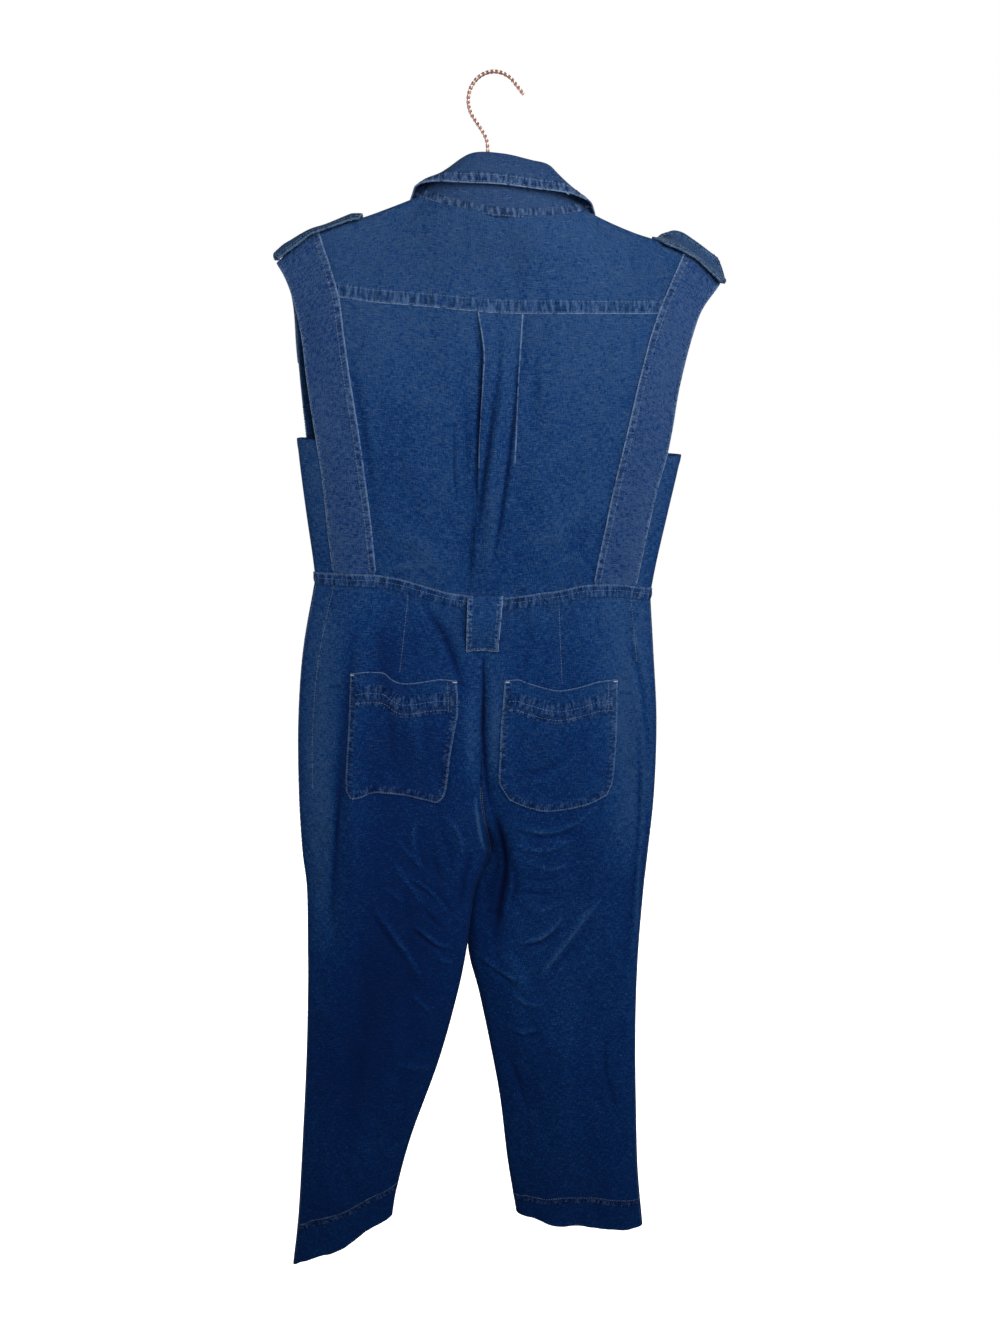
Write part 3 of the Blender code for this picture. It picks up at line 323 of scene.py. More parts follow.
def bodice_depth(face: Face, x: Array, z: Array) -> Array:
    """Distance of the bodice's face from the middle plane.

    Args:
        face: back or front.
        x: places across.
        z: heights.

    Returns:
        The distance at each place.
    """
    below = SHOULDER("z", x) - z
    depth = RIDGE_RADIUS * round_edge(below, RIDGE_RADIUS)
    full = BODICE(face.name.lower(), z) - RIDGE_RADIUS
    depth = depth + full * ease((below - RIDGE_RADIUS) / RIDGE_SPREAD)
    edge = np.minimum(x - BODICE("left", z), BODICE("right", z) - x)
    depth = depth * round_edge(edge, SIDE_ROUND)
    seam = NECK[face]("z", np.clip(x, NECK_X - NECK_HALF, NECK_X + NECK_HALF))
    fall = np.maximum(seam - z, 0.0)
    across = np.clip((x - NECK_X) / (NECK_HALF + NECK_SPREAD * fall), -1.0, 1.0)
    more = NECK_OUT[face] * (1 - across**2) ** NECK_POWER - depth
    soft = NECK_BLEND * ease((below - 4.0) / 24.0)
    depth = depth + (more + np.sqrt(more**2 + soft**2)) / 2 * np.exp(-((fall / NECK_FADE) ** 2))
    if face is Face.BACK:
        depth = depth + np.where(z < YOKE_SEAM("z", x), pleat_lift(x, z), 0.0)
    return depth


def bodice_point(face: Face, x: Array, z: Array) -> Array:
    """A point on the bodice's face, as x, y, z along the last axis."""
    x, z = np.broadcast_arrays(x, z)
    return np.stack([x, face.value * bodice_depth(face, x, z), z], axis=-1)


@dataclass(frozen=True)
class Crease:
    """A crease that the cloth keeps: a soft ridge, or a trough where its depth is negative.

    One without depth only makes the cloth paler or darker: painted light and painted shade where there is no
    fold.
    """

    path: Path              # x, z on the garment's face
    width: float
    depth: float = 0.0
    sharp: float = 2.0      # 2 is round, lower is more pinched
    # how much paler it makes the cloth, with a minus how much darker: wear on ridges, painted shade in
    # troughs, painted light and shade without a fold; None takes it from depth and width
    wear: Optional[float] = None

    @property
    def fading(self) -> float:
        """How much its colour changes along it, by default from its depth and width: paler with wear on a
        ridge, darker with painted shade in a trough.
        """
        by_shape = WEAR_AND_SHADE_PER_MM * max(self.depth, self.depth / 2) * min(1.0, FINE / self.width)
        return by_shape if self.wear is None else self.wear

    def profile(self, x: Array, z: Array) -> Array:
        """How strongly the crease shows, from 0 away from it to 1 on its line.

        Args:
            x: places across.
            z: heights.

        Returns:
            The strength at each place, less towards the crease's ends.
        """
        line = smooth_path(self.path)
        low, high = line.min(0) - 3 * self.width, line.max(0) + 3 * self.width
        near = (x > low[0]) & (x < high[0]) & (z > low[1]) & (z < high[1])
        shape = np.zeros(x.shape)
        if near.any():
            away, run = from_line(np.stack([x[near], z[near]], axis=-1), line)
            taper = np.sin(math.pi * np.clip(run / run_of(line)[-1], 0.0, 1.0)) ** 0.6
            shape[near] = taper * np.exp(-((away / self.width) ** self.sharp))
        return shape


@dataclass(frozen=True)
class Slack:
    """The cloth's own unevenness: a few long waves in many directions, always the same ones."""

    seed: int
    height: float = 0.5
    waves: int = 26
    shortest: float = 24.0
    longest: float = 130.0

    def lift(self, x: Array, z: Array) -> Array:
        """How far the cloth wanders out.

        Args:
            x: places across.
            z: heights.

        Returns:
            The lift at each place.
        """
        pick = np.random.default_rng(self.seed)
        lift = np.zeros(x.shape)
        for _ in range(self.waves):
            length = pick.uniform(self.shortest, self.longest)
            lean = pick.normal(0.0, 0.75)
            phase = pick.uniform(0.0, 2 * math.pi)
            turn = (x * math.cos(lean) + z * math.sin(lean) * 0.45) * 2 * math.pi / length
            lift += np.sin(turn + phase + 0.6 * np.sin(z / 71.0 + phase)) * (length / 75.0) ** 0.8
        return lift * self.height / math.sqrt(self.waves / 6.0)


# path as x, z, then width, depth, pinch and wear with painted shading: paler from wear on ridges, darker as
# painted shade in troughs
BACK_CREASES = (
    # beside the pleat's two folds, where the cloth turns under, painted dark as shade
    (((-19.6, -228), (-15.2, -262), (-15.3, -300), (-18.6, -360), (-21, -420)), 2, -3, 2, -0.24),
    (((34, -226), (32.5, -250), (31, -300)), 4, -0.8, 2, -0.14),
    (((-20, -430), (-26, -480), (-30, -525)), 3, -1.8, 2, -0.16),
    # inside the pleat, where its halves fall unevenly towards the waist, with painted shade in its troughs
    (((8, -234), (6, -258), (5, -285), (2, -315)), 1.5, -1.2, 1.8, -0.2),
    (((3, -292), (-4, -347), (-10, -388), (-16, -437), (-20, -475)), 2.2, -2.8, 1.8, -0.44),
    (((12, -262), (9, -310), (3, -352), (-4, -400), (-8, -450)), 3.4, 1.8, 2, 0.10),
    (((27, -236), (25, -262), (22, -320), (18, -358), (11, -414), (2, -471), (-7, -506)),
     2.2, -2.3, 1.8, -0.48),
    (((-42, -330), (-44, -388), (-40, -440)), 1.5, -1.3, 1.6, -0.3),
    (((-27, -300), (-26, -350), (-30, -400), (-29, -450)), 5, -0.9, 2, -0.1),
    (((46, -262), (42, -300), (40, -350)), 5, -0.9, 2, -0.1),
    (((2, -400), (-4, -450), (-8, -520)), 6, 1.2),
    (((-34, -300), (-30, -350), (-30, -400)), 3, -0.7),
    # bodice: soft drags from the bands towards the waist, and fine ones above it, with painted shade beside
    # the bands
    (((120, -330), (92, -372), (60, -412)), 13, -0.9),
    (((118, -420), (78, -448), (40, -492)), 12, 1.1),
    (((-126, -370), (-98, -420), (-64, -470)), 13, -0.9),
    (((-120, -450), (-80, -480), (-44, -512)), 11, 0.9),
    (((-116, -300), (-70, -318), (-40, -322)), 12, 0.8),
    (((104, -262), (70, -285), (48, -330)), 14, 0.8),
    (((-152, -262), (-146, -315), (-139, -368), (-132, -440)), 5, -1.4, 1.8, -0.30),
    (((108, -425), (100, -455), (94, -500)), 5, -1.2, 1.8, -0.16),
    (((98, -455), (84, -480), (82, -520)), 8, -0.8),
    (((-128, -505), (-96, -496), (-70, -500)), 3, 0.8),
    (((60, -500), (84, -488), (104, -494)), 3, 0.8),
    (((40, -470), (62, -462), (80, -470)), 2.6, 0.7),
    # seat: painted light either side of the centre seam's groove to take out its shade, and painted shade
    # down the groove
    (((-84, -540), (-62, -572), (-46, -612), (-38, -645)), 4, -2.2, 1.8, -0.46),
    (((-60, -545), (-40, -580), (-28, -622)), 6, 1.4, 2, 0.14),
    (((-24, -604), (-25, -680), (-24, -770)), 8, 0, 2, 0.20),
    (((-2, -604), (-2, -680), (-3, -750)), 8, 0, 2, 0.20),
    (((-14, -600), (-13, -640), (-14, -690), (-12, -735), (-8, -775), (-2, -806)), 2, -2, 1.7, -0.85),
    (((-4, -600), (-3, -640), (-5, -690), (-6, -740)), 5, 1.6, 2, 0.16),
    (((10, -600), (7, -650), (0, -730), (4, -790)), 8, 1.8),
    (((-30, -640), (-30, -700), (-26, -770)), 9, 1.6),
    (((-24, -775), (-22, -796), (-20, -818), (-16, -842), (-11, -862)), 1.8, 0.8, 2, 1.4),
    (((40, -560), (34, -590), (30, -625)), 9, -0.9),
    (((130, -560), (112, -600), (100, -628)), 12, -0.7),
    # between and below the pockets
    (((-125, -645), (-123, -680), (-122, -735)), 5, -0.9, 2, -0.12),
    (((-96, -650), (-92, -690), (-88, -735)), 6, 0.7),
    (((30, -759), (54, -756), (78, -743), (101, -717)), 3, 0.5, 1.7),
    (((28, -748), (56, -744), (84, -728)), 3, -0.9),
    (((21, -816), (55, -825), (91, -816), (127, -789)), 2.8, 1.1, 1.6),
    (((30, -824), (58, -834), (96, -824)), 3.2, -0.9),
    (((24, -843), (61, -850), (97, -833)), 2.6, 1, 1.6),
    # inner thighs, with painted shade down the deep crease by the inner seam
    (((-2, -800), (5, -826), (10, -850), (13, -884), (9, -914), (3, -950), (-2, -985)), 3.6, -4, 1.8,
     -0.62),
    (((20, -864), (26, -908), (14, -940)), 3, -1.5),
    (((16, -870), (20, -900), (16, -930), (10, -966)), 3, 0.5),
    (((-26, -1006), (-9, -1017), (7, -1029), (35, -1044)), 3, 1.2, 1.7),
    (((-18, -1016), (2, -1030), (26, -1052)), 4, -1.2),
    (((29, -985), (55, -978), (71, -963), (85, -946)), 2.8, 1.5, 1.5),
    (((34, -992), (58, -986), (84, -960)), 3.4, -1.2),
    (((56, -1037), (83, -992), (116, -942), (136, -919)), 2.8, 1.8, 1.5),
    (((62, -1044), (90, -1000), (124, -946)), 3, -1),
    (((24, -915), (38, -911), (56, -914), (76, -911)), 2.6, -1.1, 1.6),
    (((-10, -870), (-14, -900), (-8, -930)), 3, -1.2),
    (((-14, -948), (4, -950), (12, -942)), 4, -0.8),
    (((-135, -904), (-124, -912), (-114, -923)), 2.6, 1.1, 1.5),
    (((-119, -879), (-80, -908), (-59, -935), (-39, -958)), 2.6, 1.3, 1.5),
    (((-112, -886), (-76, -916), (-52, -946)), 3.2, -1.2),
    (((-92, -892), (-66, -919), (-49, -950)), 2.4, -1, 1.6),
    (((-101, -955), (-84, -972), (-67, -985), (-53, -985)), 2.6, 1.2, 1.6),
    (((-104, -962), (-84, -981), (-64, -994)), 3, -1.1),
    (((-150, -928), (-131, -962), (-112, -998), (-93, -1037)), 2.4, 1.5, 1.5),
    (((-155, -938), (-135, -974), (-116, -1010)), 3, -0.8),
    (((-107, -1058), (-94, -1076), (-80, -1097)), 3, 0.9),
    (((-30, -848), (-34, -870), (-41, -902), (-44, -935)), 4, -1.6),
    (((-60, -800), (-44, -826), (-38, -856)), 3, 1),
    (((-72, -815), (-58, -845), (-52, -880)), 3, -0.9),
    (((-96, -806), (-100, -840), (-94, -872)), 2.4, 1.2, 1.6),
    (((-118, -836), (-100, -862), (-84, -880)), 2.2, 1.1, 1.6),
    (((-130, -860), (-108, -896), (-84, -930)), 2.4, 1.1, 1.6),
    (((-78, -846), (-70, -880), (-52, -905)), 2.2, -1, 1.6),
    (((-76, -1000), (-62, -1010), (-52, -1014)), 2.2, 1, 1.6),
    (((-90, -930), (-76, -950), (-60, -962)), 2.2, -1, 1.6),
    (((44, -868), (66, -876), (96, -868)), 2.2, 1, 1.6),
    (((36, -890), (60, -894), (84, -884)), 2.2, -0.9, 1.6),
    (((46, -940), (66, -934), (84, -922)), 2.2, 1, 1.6),
    (((20, -1060), (40, -1074), (60, -1076)), 2.6, 1.1, 1.6),
    (((96, -1010), (110, -990), (124, -962)), 2.2, -1, 1.6),
    (((16, -1160), (30, -1200), (44, -1256)), 2.8, -1.3, 1.7),
    # down the left leg, with painted shade along its side troughs
    (((-150, -540), (-163, -590), (-178, -690), (-188, -769), (-198, -877), (-210, -980)), 5, -1.8, 1.6,
     -0.30),
    (((-180, -740), (-190, -800), (-199, -877), (-206, -970)), 2.8, -1.1, 1.7, -0.34),
    (((-150, -600), (-162, -700), (-168, -800), (-178, -900)), 10, 0.9),
    (((-160, -1000), (-172, -1120), (-196, -1260), (-214, -1400)), 11, -1.2),
    (((-120, -1050), (-132, -1160), (-152, -1290)), 14, 1),
    (((-134, -1164), (-106, -1179), (-78, -1191)), 2.6, 1.2, 1.6),
    # down the right leg, with painted shade along its side troughs
    (((155, -546), (158, -597), (169, -631), (180, -700), (186, -760)), 3.6, -1.7, 1.7),
    (((168, -680), (174, -760), (176, -860), (172, -940)), 3, -1.6, 1.7, -0.4),
    (((184, -770), (188, -850), (182, -950)), 2.6, -1.2, 1.7, -0.35),
    (((168, -820), (172, -900), (168, -1000), (170, -1060)), 6, -1.5),
    (((176, -860), (180, -940), (178, -1010)), 5, 1.2),
    (((92, -1060), (96, -1180), (108, -1300), (116, -1400)), 16, 0.8),
    (((24, -1020), (34, -1100), (44, -1200)), 14, 0, 2, 0.12),
    (((144, -1130), (146, -1182), (154, -1216), (163, -1252)), 3, -1.3, 1.6),
    (((2, -1060), (24, -1150), (34, -1250)), 9, -0.8),
    (((15, -1114), (36, -1119), (54, -1111)), 2.8, 1.2),
    (((22, -1122), (38, -1128), (56, -1120)), 3, -0.9),
    (((10, -1000), (30, -1030), (44, -1060)), 8, 1),
    # no fold, only painted light and shade: pale outer thighs and sides, which turn away from the lamps,
    # darker inner ones
    (((-194, -537), (-206, -659), (-216, -788), (-218, -926), (-225, -1014)), 24, 0, 2.6, 0.56),
    (((150, -500), (158, -657), (166, -760), (168, -900)), 34, 0, 2.4, 0.50),
    (((90, -850), (100, -950), (120, -1100), (150, -1300)), 60, 0, 2.4, 0.10),
    (((186, -700), (184, -900), (185, -1078), (192, -1300)), 16, 0, 2, 0.20),
    (((-196, -330), (-192, -400), (-186, -500)), 14, 0, 2, 0.16),
    (((176, -380), (166, -440), (158, -520)), 16, 0, 2, 0.22),
    (((-107, -520), (-111, -585), (-111, -654)), 38, 0, 2.6, -0.20),
    (((-100, -630), (-110, -700), (-112, -790)), 60, 0, 3, -0.24),
    (((-110, -760), (-112, -850), (-118, -950), (-140, -1080), (-185, -1300)), 66, 0, 2.6, -0.36),
    (((-129, -556), (-128, -610), (-126, -670)), 13, 0, 2.2, -0.18),
    (((-14, -820), (-6, -891), (3, -990)), 20, 0, 2, -0.22),
    (((-110, -270), (-97, -368), (-83, -490)), 38, 0, 2.4, -0.1),
    (((112, -290), (104, -400), (96, -500)), 30, 0, 2, 0.10),
    (((206, -212), (192, -260), (180, -330)), 22, 0, 2, 0.20),
    (((-60, -225), (-20, -300), (10, -420), (0, -530)), 46, 0, 2.6, -0.11),
)
FRONT_CREASES = (
    (((-130, -300), (-100, -350), (-64, -410), (-40, -470)), 13, -1.2),
    (((126, -320), (96, -372), (60, -430)), 13, -1.2),
    (((-120, -420), (-86, -470), (-60, -515)), 11, 1.1),
    (((104, -430), (76, -480), (58, -520)), 11, 1.1),
    (((-170, -230), (-130, -280), (-110, -340)), 14, 0.9),
    (((166, -240), (130, -290), (112, -350)), 14, 0.9),
    (((-70, -560), (-96, -640), (-110, -760)), 9, -2),
    (((60, -560), (84, -640), (96, -760)), 9, -2),
    (((-20, -700), (-44, -760), (-80, -800)), 4, -2.2, 1.8, -0.2),
    (((-8, -700), (20, -752), (58, -796)), 4, -2.2, 1.8, -0.2),
    (((-16, -790), (-60, -836), (-110, -850)), 3.6, -1.6, 1.7),
    (((-8, -800), (40, -842), (92, -862)), 3.6, -1.6, 1.7),
    (((-24, -830), (-62, -868), (-104, -892)), 3, 1.2, 1.6),
    (((4, -838), (44, -880), (84, -902)), 3, 1.2, 1.6),
    (((-30, -880), (-76, -930), (-120, -990)), 6, 1.5),
    (((8, -890), (50, -940), (90, -1000)), 6, 1.5),
    (((-150, -700), (-168, -860), (-190, -1010), (-216, -1160)), 10, -1.8),
    (((140, -700), (150, -860), (150, -1010), (156, -1160)), 10, -1.8),
    (((-130, -1120), (-160, -1260), (-190, -1400)), 14, 1),
    (((70, -1120), (90, -1260), (110, -1390)), 14, 1),
    (((-206, -620), (-216, -788), (-222, -980)), 24, 0, 2.4, 0.22),
    (((172, -620), (180, -800), (182, -1000)), 24, 0, 2.4, 0.22),
)
CREASES = {
    Face.BACK: tuple(Crease(*row) for row in BACK_CREASES),
    Face.FRONT: tuple(Crease(*row) for row in FRONT_CREASES),
}
SLACK = {
    Face.BACK: (Slack(7), Slack(11, 0.42, 24, 11.0, 24.0)),
    Face.FRONT: (Slack(19), Slack(23, 0.3, 20, 14.0, 26.0)),
}


def drape_lift(points: Array) -> tuple[Array, Array]:
    """Creases and unevenness of whichever face the points are on, none at the side folds.

    Args:
        points: points of the hanging form.

    Returns:
        How far each point moves out, and how much its creases change its colour: wear on ridges, painted
        shade in troughs, painted light and shade where there is no fold.
    """
    x, y, z = points[..., 0], points[..., 1], points[..., 2]
    lift, wear = np.zeros(x.shape), np.zeros(x.shape)
    for face in Face:
        here = y * face.value > 0
        if here.any():
            lift[here] = sum(slack.lift(x[here], z[here]) for slack in SLACK[face])
            for crease in CREASES[face]:
                shape = crease.profile(x[here], z[here])
                lift[here] += PRESS * crease.depth * shape
                wear[here] += crease.fading * shape
    hold = ease(np.minimum(np.abs(y) / 12.0, 1.0)) * ease((SHOULDER("z", x) - z) / 25.0)
    return lift * hold, wear * hold


# ---- finishes

class Nodes:
    """Adds nodes to a tree and links them by their sockets' names."""

    def __init__(self, tree: bpy.types.NodeTree, prefix: str = "") -> None:
        """Keeps the tree, and what its nodes' types begin with."""
        self.tree, self.prefix = tree, prefix

    def add(self, kind: str, settings: Optional[dict] = None, **inputs: object) -> bpy.types.Node:
        """Adds one node.

        Args:
            kind: the node's type, after the prefix.
            settings: the node's own properties.
            inputs: values or output sockets, by the input's name or in0, in1 and so on.

        Returns:
            The node.
        """
        made = self.tree.nodes.new(self.prefix + kind)
        for key, value in (settings or {}).items():
            setattr(made, key, value)
        self.plug(made, inputs)
        return made

    def plug(self, node: bpy.types.Node, inputs: dict[str, object]) -> None:
        """Sets or links a node's inputs.

        Args:
            node: the node.
            inputs: values or output sockets, by the input's name or in0, in1 and so on.
        """
        for key, value in inputs.items():
            socket = node.inputs[int(key[2:])] if key[2:].isdigit() else node.inputs[key.replace("_", " ")]
            value = value.socket if isinstance(value, Value) else value
            if isinstance(value, bpy.types.NodeSocket):
                self.tree.links.new(value, socket)
            else:
                socket.default_value = value


class Shader(Nodes):
    """A material's nodes, in front of one Principled surface."""

    def __init__(self, name: str) -> None:
        """Starts a material of that name.

        Args:
            name: the material's name.
        """
        self.material = bpy.data.materials.new(name)
        self.material.use_nodes = True
        super().__init__(self.material.node_tree, "ShaderNode")
        self.surface = self.tree.nodes["Principled BSDF"]

    def ramp(self, value: object, low: float, high: float, smooth: bool = True) -> "Value":
        """A number that rises with another one.

        Args:
            value: the other number.
            low: where the result is 0.
            high: where it is 1, above or below low.
            smooth: True for soft ends.

        Returns:
            The result.
        """
        kind = "SMOOTHSTEP" if smooth else "LINEAR"
        made = self.add("MapRange", {"interpolation_type": kind}, Value=value, From_Min=low, From_Max=high)
        return Value(self, made.outputs[0])

    def noise(self, vector: object, spread: Sequence[float], detail: float = 2.0, offset: float = 0.0,
              rough: float = 0.55) -> "Value":
        """Noise, stretched along its axes.

        Args:
            vector: where it is read.
            spread: features in a metre along each axis.
            detail: how many finer octaves it has.
            offset: moves it, so that two noises differ.
            rough: strength of the finer octaves.

        Returns:
            A number around one half.
        """
        moved = self.add("Mapping", None, Vector=vector, Location=(offset, offset * 1.7, offset * 0.6),
                         Scale=tuple(spread))
        made = self.add("TexNoise", None, Vector=moved.outputs[0], Scale=1.0, Detail=detail, Roughness=rough)
        return Value(self, made.outputs["Fac"])

    def mix(self, share: object, first: object, second: object) -> bpy.types.NodeSocket:
        """A mix of two colours, each a colour or a socket."""
        colours = [(*c, 1.0) if isinstance(c, tuple) else c for c in (first, second)]
        return self.add("Mix", {"data_type": "RGBA"}, in0=share, in6=colours[0], in7=colours[1]).outputs[2]

    def dye(self, tone: object, *colours: Colour) -> bpy.types.NodeSocket:
        """A colour between several, evenly spaced as the tone goes from 0 to 1.

        Args:
            tone: the number, from 0 to 1.
            colours: three colours or more, each as red, green, blue.

        Returns:
            The colour's socket.
        """
        made = self.add("ValToRGB", None, Fac=tone)
        stops, last = made.color_ramp.elements, len(colours) - 1
        for k, colour in enumerate(colours):
            stop = stops[0] if k == 0 else stops[-1] if k == last else stops.new(k / last)
            stop.color = (*colour, 1.0)
        return made.outputs[0]

    def attribute(self, name: str) -> "Value":
        """A piece's own number at each point."""
        return Value(self, self.add("Attribute", {"attribute_name": name}).outputs["Fac"])

    def finish(self, colour: object, relief: object, depth_m: float, **inputs: object) -> bpy.types.Material:
        """Joins a colour and a relief to the surface.

        Args:
            colour: the colour's socket.
            relief: a number that rises with the surface.
            depth_m: how deep the relief is.
            inputs: the surface's other sockets by name, with a value or a number's socket.

        Returns:
            The material.
        """
        bump = self.add("Bump", None, Strength=0.8, Distance=depth_m, Height=relief)
        self.plug(self.surface, {**inputs, "Base_Color": colour, "Normal": bump.outputs[0]})
        return self.material


class Value:
    """A number that a material works out, so that sums and products read like plain ones."""

    def __init__(self, shader: Shader, socket: bpy.types.NodeSocket) -> None:
        """Keeps the socket that gives the number."""
        self.shader, self.socket = shader, socket

    def join(self, operation: str, other: object, clamp: bool = False) -> "Value":
        """This number and another one through a math node."""
        made = self.shader.add("Math", {"operation": operation, "use_clamp": clamp}, in0=self, in1=other)
        return Value(self.shader, made.outputs[0])

    def __add__(self, other: object) -> "Value":
        """The sum."""
        return self.join("ADD", other)

    def __sub__(self, other: object) -> "Value":
        """The difference."""
        return self.join("SUBTRACT", other)

    def __mul__(self, other: object) -> "Value":
        """The product."""
        return self.join("MULTIPLY", other)

    def most(self, other: object) -> "Value":
        """The greater of the two."""
        return self.join("MAXIMUM", other)


@dataclass(frozen=True)
class Denim:
    """Slubbed indigo linen-cotton cloth, pale where its edges and puckers rub, with painted light that falls
    off down the garment and painted shade in creases and between puckers.
    """

    name: str
    deep: Colour = (0.0004, 0.0165, 0.102)
    middle: Colour = (0.0018, 0.042, 0.172)
    pale: Colour = (0.031, 0.082, 0.205)
    worn: Colour = (0.20, 0.31, 0.50)
    base: float = 0.10      # how faded it is all over
    upper: float = 0.62     # painted light: how much lighter the garment's top is painted than its legs
    rub: float = 1.0        # how strongly edges are painted pale with wear, and puckers' tops with wear and painted highlight
    speckle: float = 2.2    # how much its threads differ

    def material(self) -> bpy.types.Material:
        """Builds the cloth's material.

        Returns:
            A material that reads the piece's grain map and its sewing attributes.
        """
        s = Shader(self.name)
        grain = s.add("UVMap", {"uv_map": "grain"}).outputs[0]
        height = s.add("SeparateXYZ", None, Vector=s.add("TexCoord").outputs["Object"]).outputs["Z"]
        # how faded the cloth is all over, plus painted light: lighter towards the top, darker down the legs
        fade_and_painted_light = s.ramp(height, -0.74, -0.15, False) * self.upper
        fade_and_painted_light = fade_and_painted_light + s.ramp(height, -1.15, -0.55, False) * 0.16 + self.base
        # warp and weft, then how unevenly they have washed
        weave = s.noise(grain, (1000.0, 170.0, 1.0)) + s.noise(grain, (170.0, 1000.0, 1.0), offset=3.1) - 1.0
        wash = (s.noise(grain, (15.0, 9.0, 1.0), 3.0, 5.5) - 0.5) * 0.45
        wash = wash + (s.noise(grain, (95.0, 70.0, 1.0), 3.0, 23.0) - 0.5) * 0.5
        # the creases' wear and painted shading, added to the tone
        wear = s.attribute("wear")
        tone = (fade_and_painted_light + weave * self.speckle + wash).join("ADD", wear, clamp=True)
        colour = s.dye(tone, self.deep, self.middle, self.pale)
        # slubs along both threads, and pale flecks
        slub = s.ramp(s.noise(grain, (120.0, 950.0, 1.0), 1.0, 7.7), 0.58, 0.72) * 0.20
        slub = slub.most(s.ramp(s.noise(grain, (950.0, 150.0, 1.0), 1.0, 11.3), 0.62, 0.76) * 0.13)
        fleck = s.ramp(s.noise(grain, (560.0, 760.0, 1.0), 1.0, 17.9), 0.68, 0.78) * 0.55
        colour = s.mix(slub.most(fleck) * (fade_and_painted_light * 0.95 + 0.05), colour, self.worn)
        # painted shade: a quarter of the deepest dye, mixed into crease troughs here and between puckers
        # below
        shadow = tuple(c * 0.25 for c in self.deep)
        colour = s.mix(s.ramp(wear, -0.12, -0.8) * 0.7, colour, shadow)
        # ropes: the puckers beside a seam, pale on top with wear and painted highlight, painted shade
        # between
        rope = s.attribute("rope")
        inside = s.ramp(rope, 1.06, 0.94) * s.attribute("roping")
        along = s.add("CombineXYZ", None, X=s.attribute("run"), Y=rope * 0.006)
        stripes = s.noise(along.outputs[0], (300.0, 170.0, 1.0), 2.0, 1.3, 0.55)
        pucker = s.attribute("pucker")
        lit = s.ramp(pucker, 0.1, 0.8) * 0.5 + s.ramp(stripes, 0.51, 0.62) * 0.8
        lit = lit.join("MULTIPLY", inside, True)
        dim = s.ramp(pucker, -0.1, -0.7) * 0.5 + s.ramp(stripes, 0.48, 0.39) * 0.8
        dim = dim.join("MULTIPLY", inside, True)
        colour = s.mix(dim * 0.66, colour, shadow)
        colour = s.mix(lit * (fade_and_painted_light * 0.75 + 0.3) * (0.42 * self.rub), colour, self.worn)
        # rubbed edges
        frayed = s.ramp(s.noise(grain, (300.0, 300.0, 1.0), 2.0, 31.0), 0.28, 0.56)
        line = s.ramp(s.attribute("edge"), 1.4, 0.3) * frayed
        colour = s.mix(line * (fade_and_painted_light * 0.5 + 0.4) * self.rub, colour, self.worn)
        relief = weave * 0.35 + slub * 3.0 + stripes * inside * 2.2
        return s.finish(colour, relief, 0.0006, Roughness=0.82, Specular_IOR_Level=0.09, Sheen_Weight=0.01,
                        Sheen_Roughness=0.5, Sheen_Tint=(0.55, 0.68, 0.95, 1.0))


@dataclass(frozen=True)
class Plain:
    """A finish with one colour, a fine grain in its colour, roughness and relief."""

    name: str
    colour: Colour
    roughness: float
    metallic: float = 0.0
    grain: float = 900.0    # grains in a metre
    relief_m: float = 0.0002
    coat: float = 0.0

    def material(self) -> bpy.types.Material:
        """Builds the material.

        Returns:
            A material with a grain on the piece's own coordinates.
        """
        s = Shader(self.name)
        grain = s.noise(s.add("TexCoord").outputs["Object"], (self.grain,) * 3, 3.0)
        light = tuple(min(1.0, c * 1.18) for c in self.colour)
        dark = tuple(c * 0.82 for c in self.colour)
        rough = ((grain - 0.5) * 0.25).join("ADD", self.roughness, clamp=True)
        return s.finish(s.mix(s.ramp(grain, 0.3, 0.7), dark, light), grain, self.relief_m, Roughness=rough,
                        Metallic=self.metallic, Coat_Weight=self.coat)


class Finish(Enum):
    """The finishes of the garment and its hanger."""

    DENIM = Denim("indigo_denim")
    # the denim painted lighter all over for the collar: painted light on its lit fall
    COLLAR = Denim("indigo_denim_collar", pale=(0.034, 0.076, 0.182), base=0.2)
    BAND = Denim("indigo_denim_cross_cut", (0.0004, 0.014, 0.094), (0.003, 0.039, 0.168),
                 (0.040, 0.087, 0.210), base=0.57, upper=0.10, speckle=2.7)
    POCKET = Denim("indigo_denim_pocket", base=0.15, upper=0.54, rub=0.75)
    LOOP = Denim("indigo_denim_loop", base=0.24, upper=0.50, rub=1.5)
    # the denim painted lighter for the tabs, as painted light on tops that face away from the lamps, with a
    # greyer worn colour
    TAB = Denim("indigo_denim_tab", (0.004, 0.031, 0.108), (0.017, 0.056, 0.162), (0.042, 0.094, 0.204),
                (0.16, 0.26, 0.37), rub=0.5)
    THREAD = Plain("topstitch_thread", (0.15, 0.235, 0.40), 0.65, grain=2500.0)
    BARTACK = Plain("bartack_thread", (0.50, 0.56, 0.68), 0.6, grain=2500.0)
    COPPER = Plain("rose_copper_wire", (0.66, 0.42, 0.36), 0.36, metallic=0.6, grain=300.0, relief_m=0.00005)
    FLOCK = Plain("flocked_hanger", (0.028, 0.028, 0.032), 0.95, grain=2600.0, relief_m=0.0003)
    BUTTON = Plain("navy_button", (0.012, 0.022, 0.05), 0.35, grain=160.0, relief_m=0.00008, coat=0.3)


